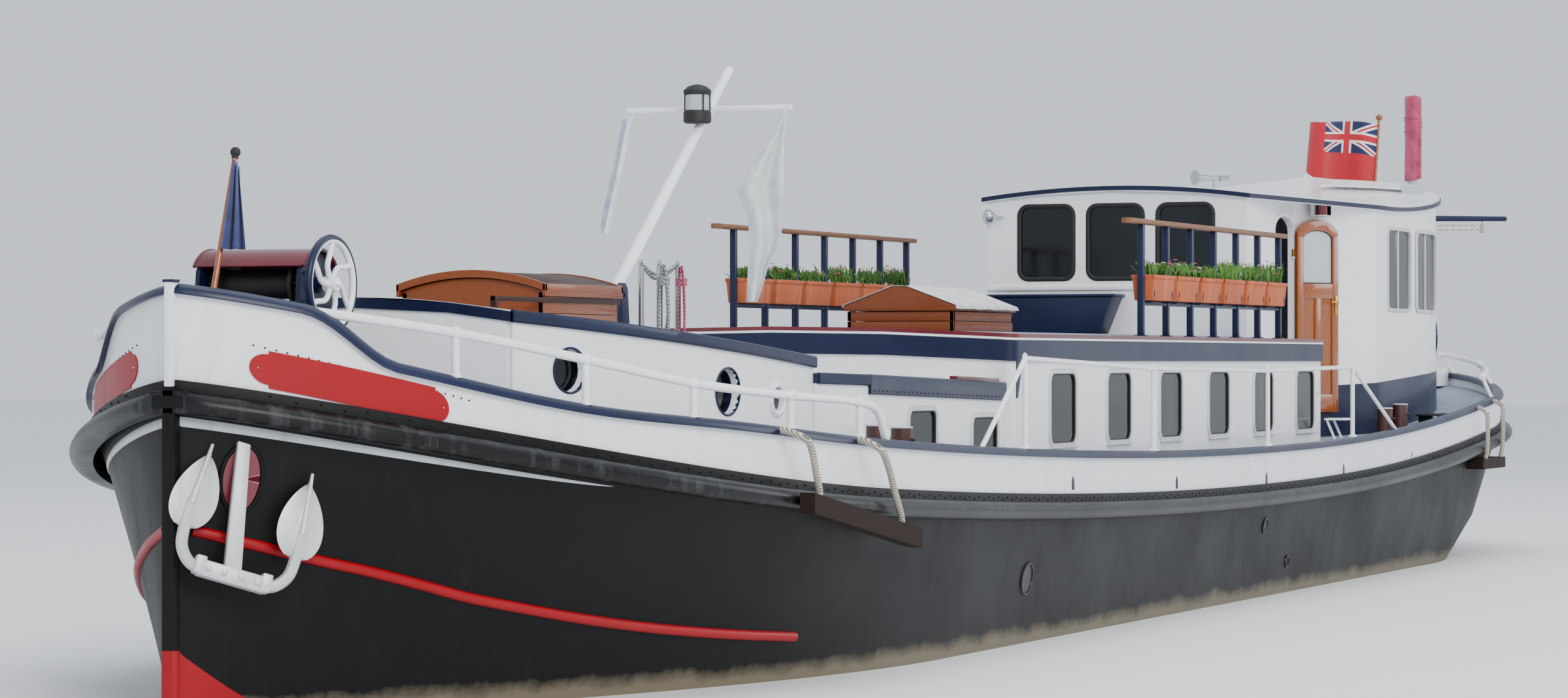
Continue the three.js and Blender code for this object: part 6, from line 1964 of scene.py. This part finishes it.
posts, tops = bmesh.new(), bmesh.new()
for stations, y, height in (((5.4, 5.85), 2.05, 0.24), ((19.0, 19.6), 2.0, 0.28)):
    for s in stations:
        rod(posts, on_deck(s, y, -0.002), on_deck(s, y, height - 0.012), 0.072, sides=32)
        rod(tops, on_deck(s, y, height - 0.013), on_deck(s, y, height - 0.004), 0.076, sides=32)
        rod(tops, on_deck(s, y, height - 0.004), on_deck(s, y, height), 0.074, 0.05, 32)
        pin = deck_at(s, y) + height * 0.62
        rod(posts, at(s, y - 0.1, pin), at(s, y + 0.1, pin), 0.011)
    base = deck_at(sum(stations) / 2, y)
    block(posts, at(stations[1] + 0.12, y - 0.1, base + 0.001), at(stations[0] - 0.12, y + 0.1, base + 0.022), 0.004)
BOLLARDS = ["fore_bollard_port", "fore_bollard_starboard", "aft_bollard_port", "aft_bollard_starboard"]
emit("bollards", both_sides(posts), "bollard_brown", smooth=50, nodes=BOLLARDS)
emit("bollard_tops", both_sides(tops), "strip_grey", smooth=50)
boom = bmesh.new()
BOOM_S = 23.8
BOOM_ROOT, BOOM_TIP = at(BOOM_S, 0, 3.57), at(24.9, 1.85, 3.57)
rod(boom, BOOM_ROOT, BOOM_TIP, 0.041, 0.027, 28)
ball(boom, BOOM_TIP, 0.028, 1.0, 3)
rod(boom, at(BOOM_S, 0, 3.504), at(BOOM_S, 0, 3.638), 0.049, sides=32)
emit("boom_spar", boom, "navy_gloss", body="boom", smooth=50, nodes=["boom"])
tackle = bmesh.new()
for drop in (0.09, 0.15):
    fall = [BOOM_ROOT.lerp(BOOM_TIP, 0.06) - UP * drop, BOOM_ROOT.lerp(BOOM_TIP, 0.86) - UP * drop * 0.8]
    tube(tackle, fall, 0.006, 8)
for part in (0.06, 0.88):
    spot = BOOM_ROOT.lerp(BOOM_TIP, part) - UP * 0.11
    block(tackle, spot - Vector((0.045, 0.015, 0.05)), spot + Vector((0.045, 0.015, 0.05)), 0.012)
    tube(tackle, [spot + UP * 0.045, BOOM_ROOT.lerp(BOOM_TIP, part) - UP * 0.02], 0.008, 8)
emit("boom_tackle", tackle, "rope_white", body="boom", smooth=50)
column = bmesh.new()
rod(column, on_deck(BOOM_S, 0, -0.002), at(BOOM_S, 0, 3.498), 0.049, sides=32)
rod(column, at(BOOM_S, 0, 3.49), at(BOOM_S, 0, 3.648), 0.0165, sides=24)
rod(column, on_deck(BOOM_S, 0, -0.001), on_deck(BOOM_S, 0, 0.015), 0.09, sides=32)
emit("boom_column", column, "navy_gloss", smooth=50, nodes=["boom_post"])
print("four pairs of bollards, boom on its column")

# %% [markdown]
# The last small gear is a step at the saloon's after end, a locker and a plate tread by the stern, pointed
# scuppers along the strake, and round outlets in the side. The flat ones are plates cut to an outline.

# %% Steps, treads and scuppers
small = bmesh.new()
block(small, at(17.35, 1.92, 1.455), at(17.05, 2.12, 1.475), 0.005)
for s in (17.32, 17.08):
    beam(small, at(s, 1.94, 1.455), at(s, 2.05, deck_at(s, 2.05)), 0.02, 0.02, 0.003)
block(small, at(24.45, 0.9, deck_at(24.2, 1.1)), at(23.95, 1.35, deck_at(24.2, 1.1) + 0.2), 0.01)
emit("step_and_locker", both_sides(small), "house_white")
tread = bmesh.new()
under_tread = deck_at(20.8, 2.05) + 0.07
block(tread, at(21.3, 1.98, under_tread), at(20.3, 2.14, under_tread + 0.015), 0.003)
for i in range(24):
    s = 21.28 - 0.041 * i
    block(tread, at(s, 1.99, under_tread + 0.015), at(s - 0.015, 2.13, under_tread + 0.019), 0)
for s in (20.4, 21.2):
    block(tread, at(s + 0.02, 1.99, deck_at(s, 2.05) - 0.01), at(s - 0.02, 2.13, under_tread), 0.002)
emit("stern_treads", both_sides(tread), "scrape_and_highlight_steel")
pits = bmesh.new()
POINTED = [(-0.03, -0.04), (0.03, -0.04), (0.03, 0.02), (0.015, 0.05), (0.0, 0.062), (-0.015, 0.05), (-0.03, 0.02)]
for s, z in ((8.583, 1.107), (11.124, 1.041), (13.673, 1.005), (16.193, 1.02), (18.73, 1.07)):
    plate(pits, [on_side(s + p, z + q, 0.001) for p, q in POINTED], (0, 0.002, 0))
emit("scuppers", both_sides(pits), "scrape_and_highlight_steel")
outlets = bmesh.new()
for s, z, r in ((7.8, 0.46, 0.11), (14.654, 0.268, 0.045), (13.8, 0.615, 0.06)):
    ring = [on_side(s + r * cos(a), z + r * sin(a), 0.002) for a in (2 * pi * i / 28 for i in range(28))]
    tube(outlets, ring, 0.012, 8, True)
    plate(outlets, ring, (0, 0.003, 0))
emit("side_outlets", both_sides(outlets), "scrape_and_highlight_steel", smooth=50)
print("step, locker, treads, scuppers and outlets in place")

# %% Finishes of the plain solids
CAD_LOOKS = {
    "house_white": "fore_trunk_side_port fore_trunk_side_starboard fore_trunk_front fore_trunk_after "
    "low_trunk_side_port low_trunk_side_starboard saloon_side_port saloon_side_starboard saloon_front saloon_after "
    "wheelhouse_roof wheelhouse_side_port wheelhouse_side_starboard wheelhouse_front wheelhouse_after",
    "navy_gloss": "fore_trunk_roof low_trunk_roof",
    "deck_paint": "saloon_roof",
    "hull_tar": "stern_frame rudder",
    "blade_bronze": "propeller",
    "board_brown": "mid_fender_board stern_fender_board",
}
for look, names in CAD_LOOKS.items():
    for node in names.split():
        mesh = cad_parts[node].data
        mesh.materials.clear()
        mesh.materials.append(FINISH[look])
print(len(MADE), "pieces made")
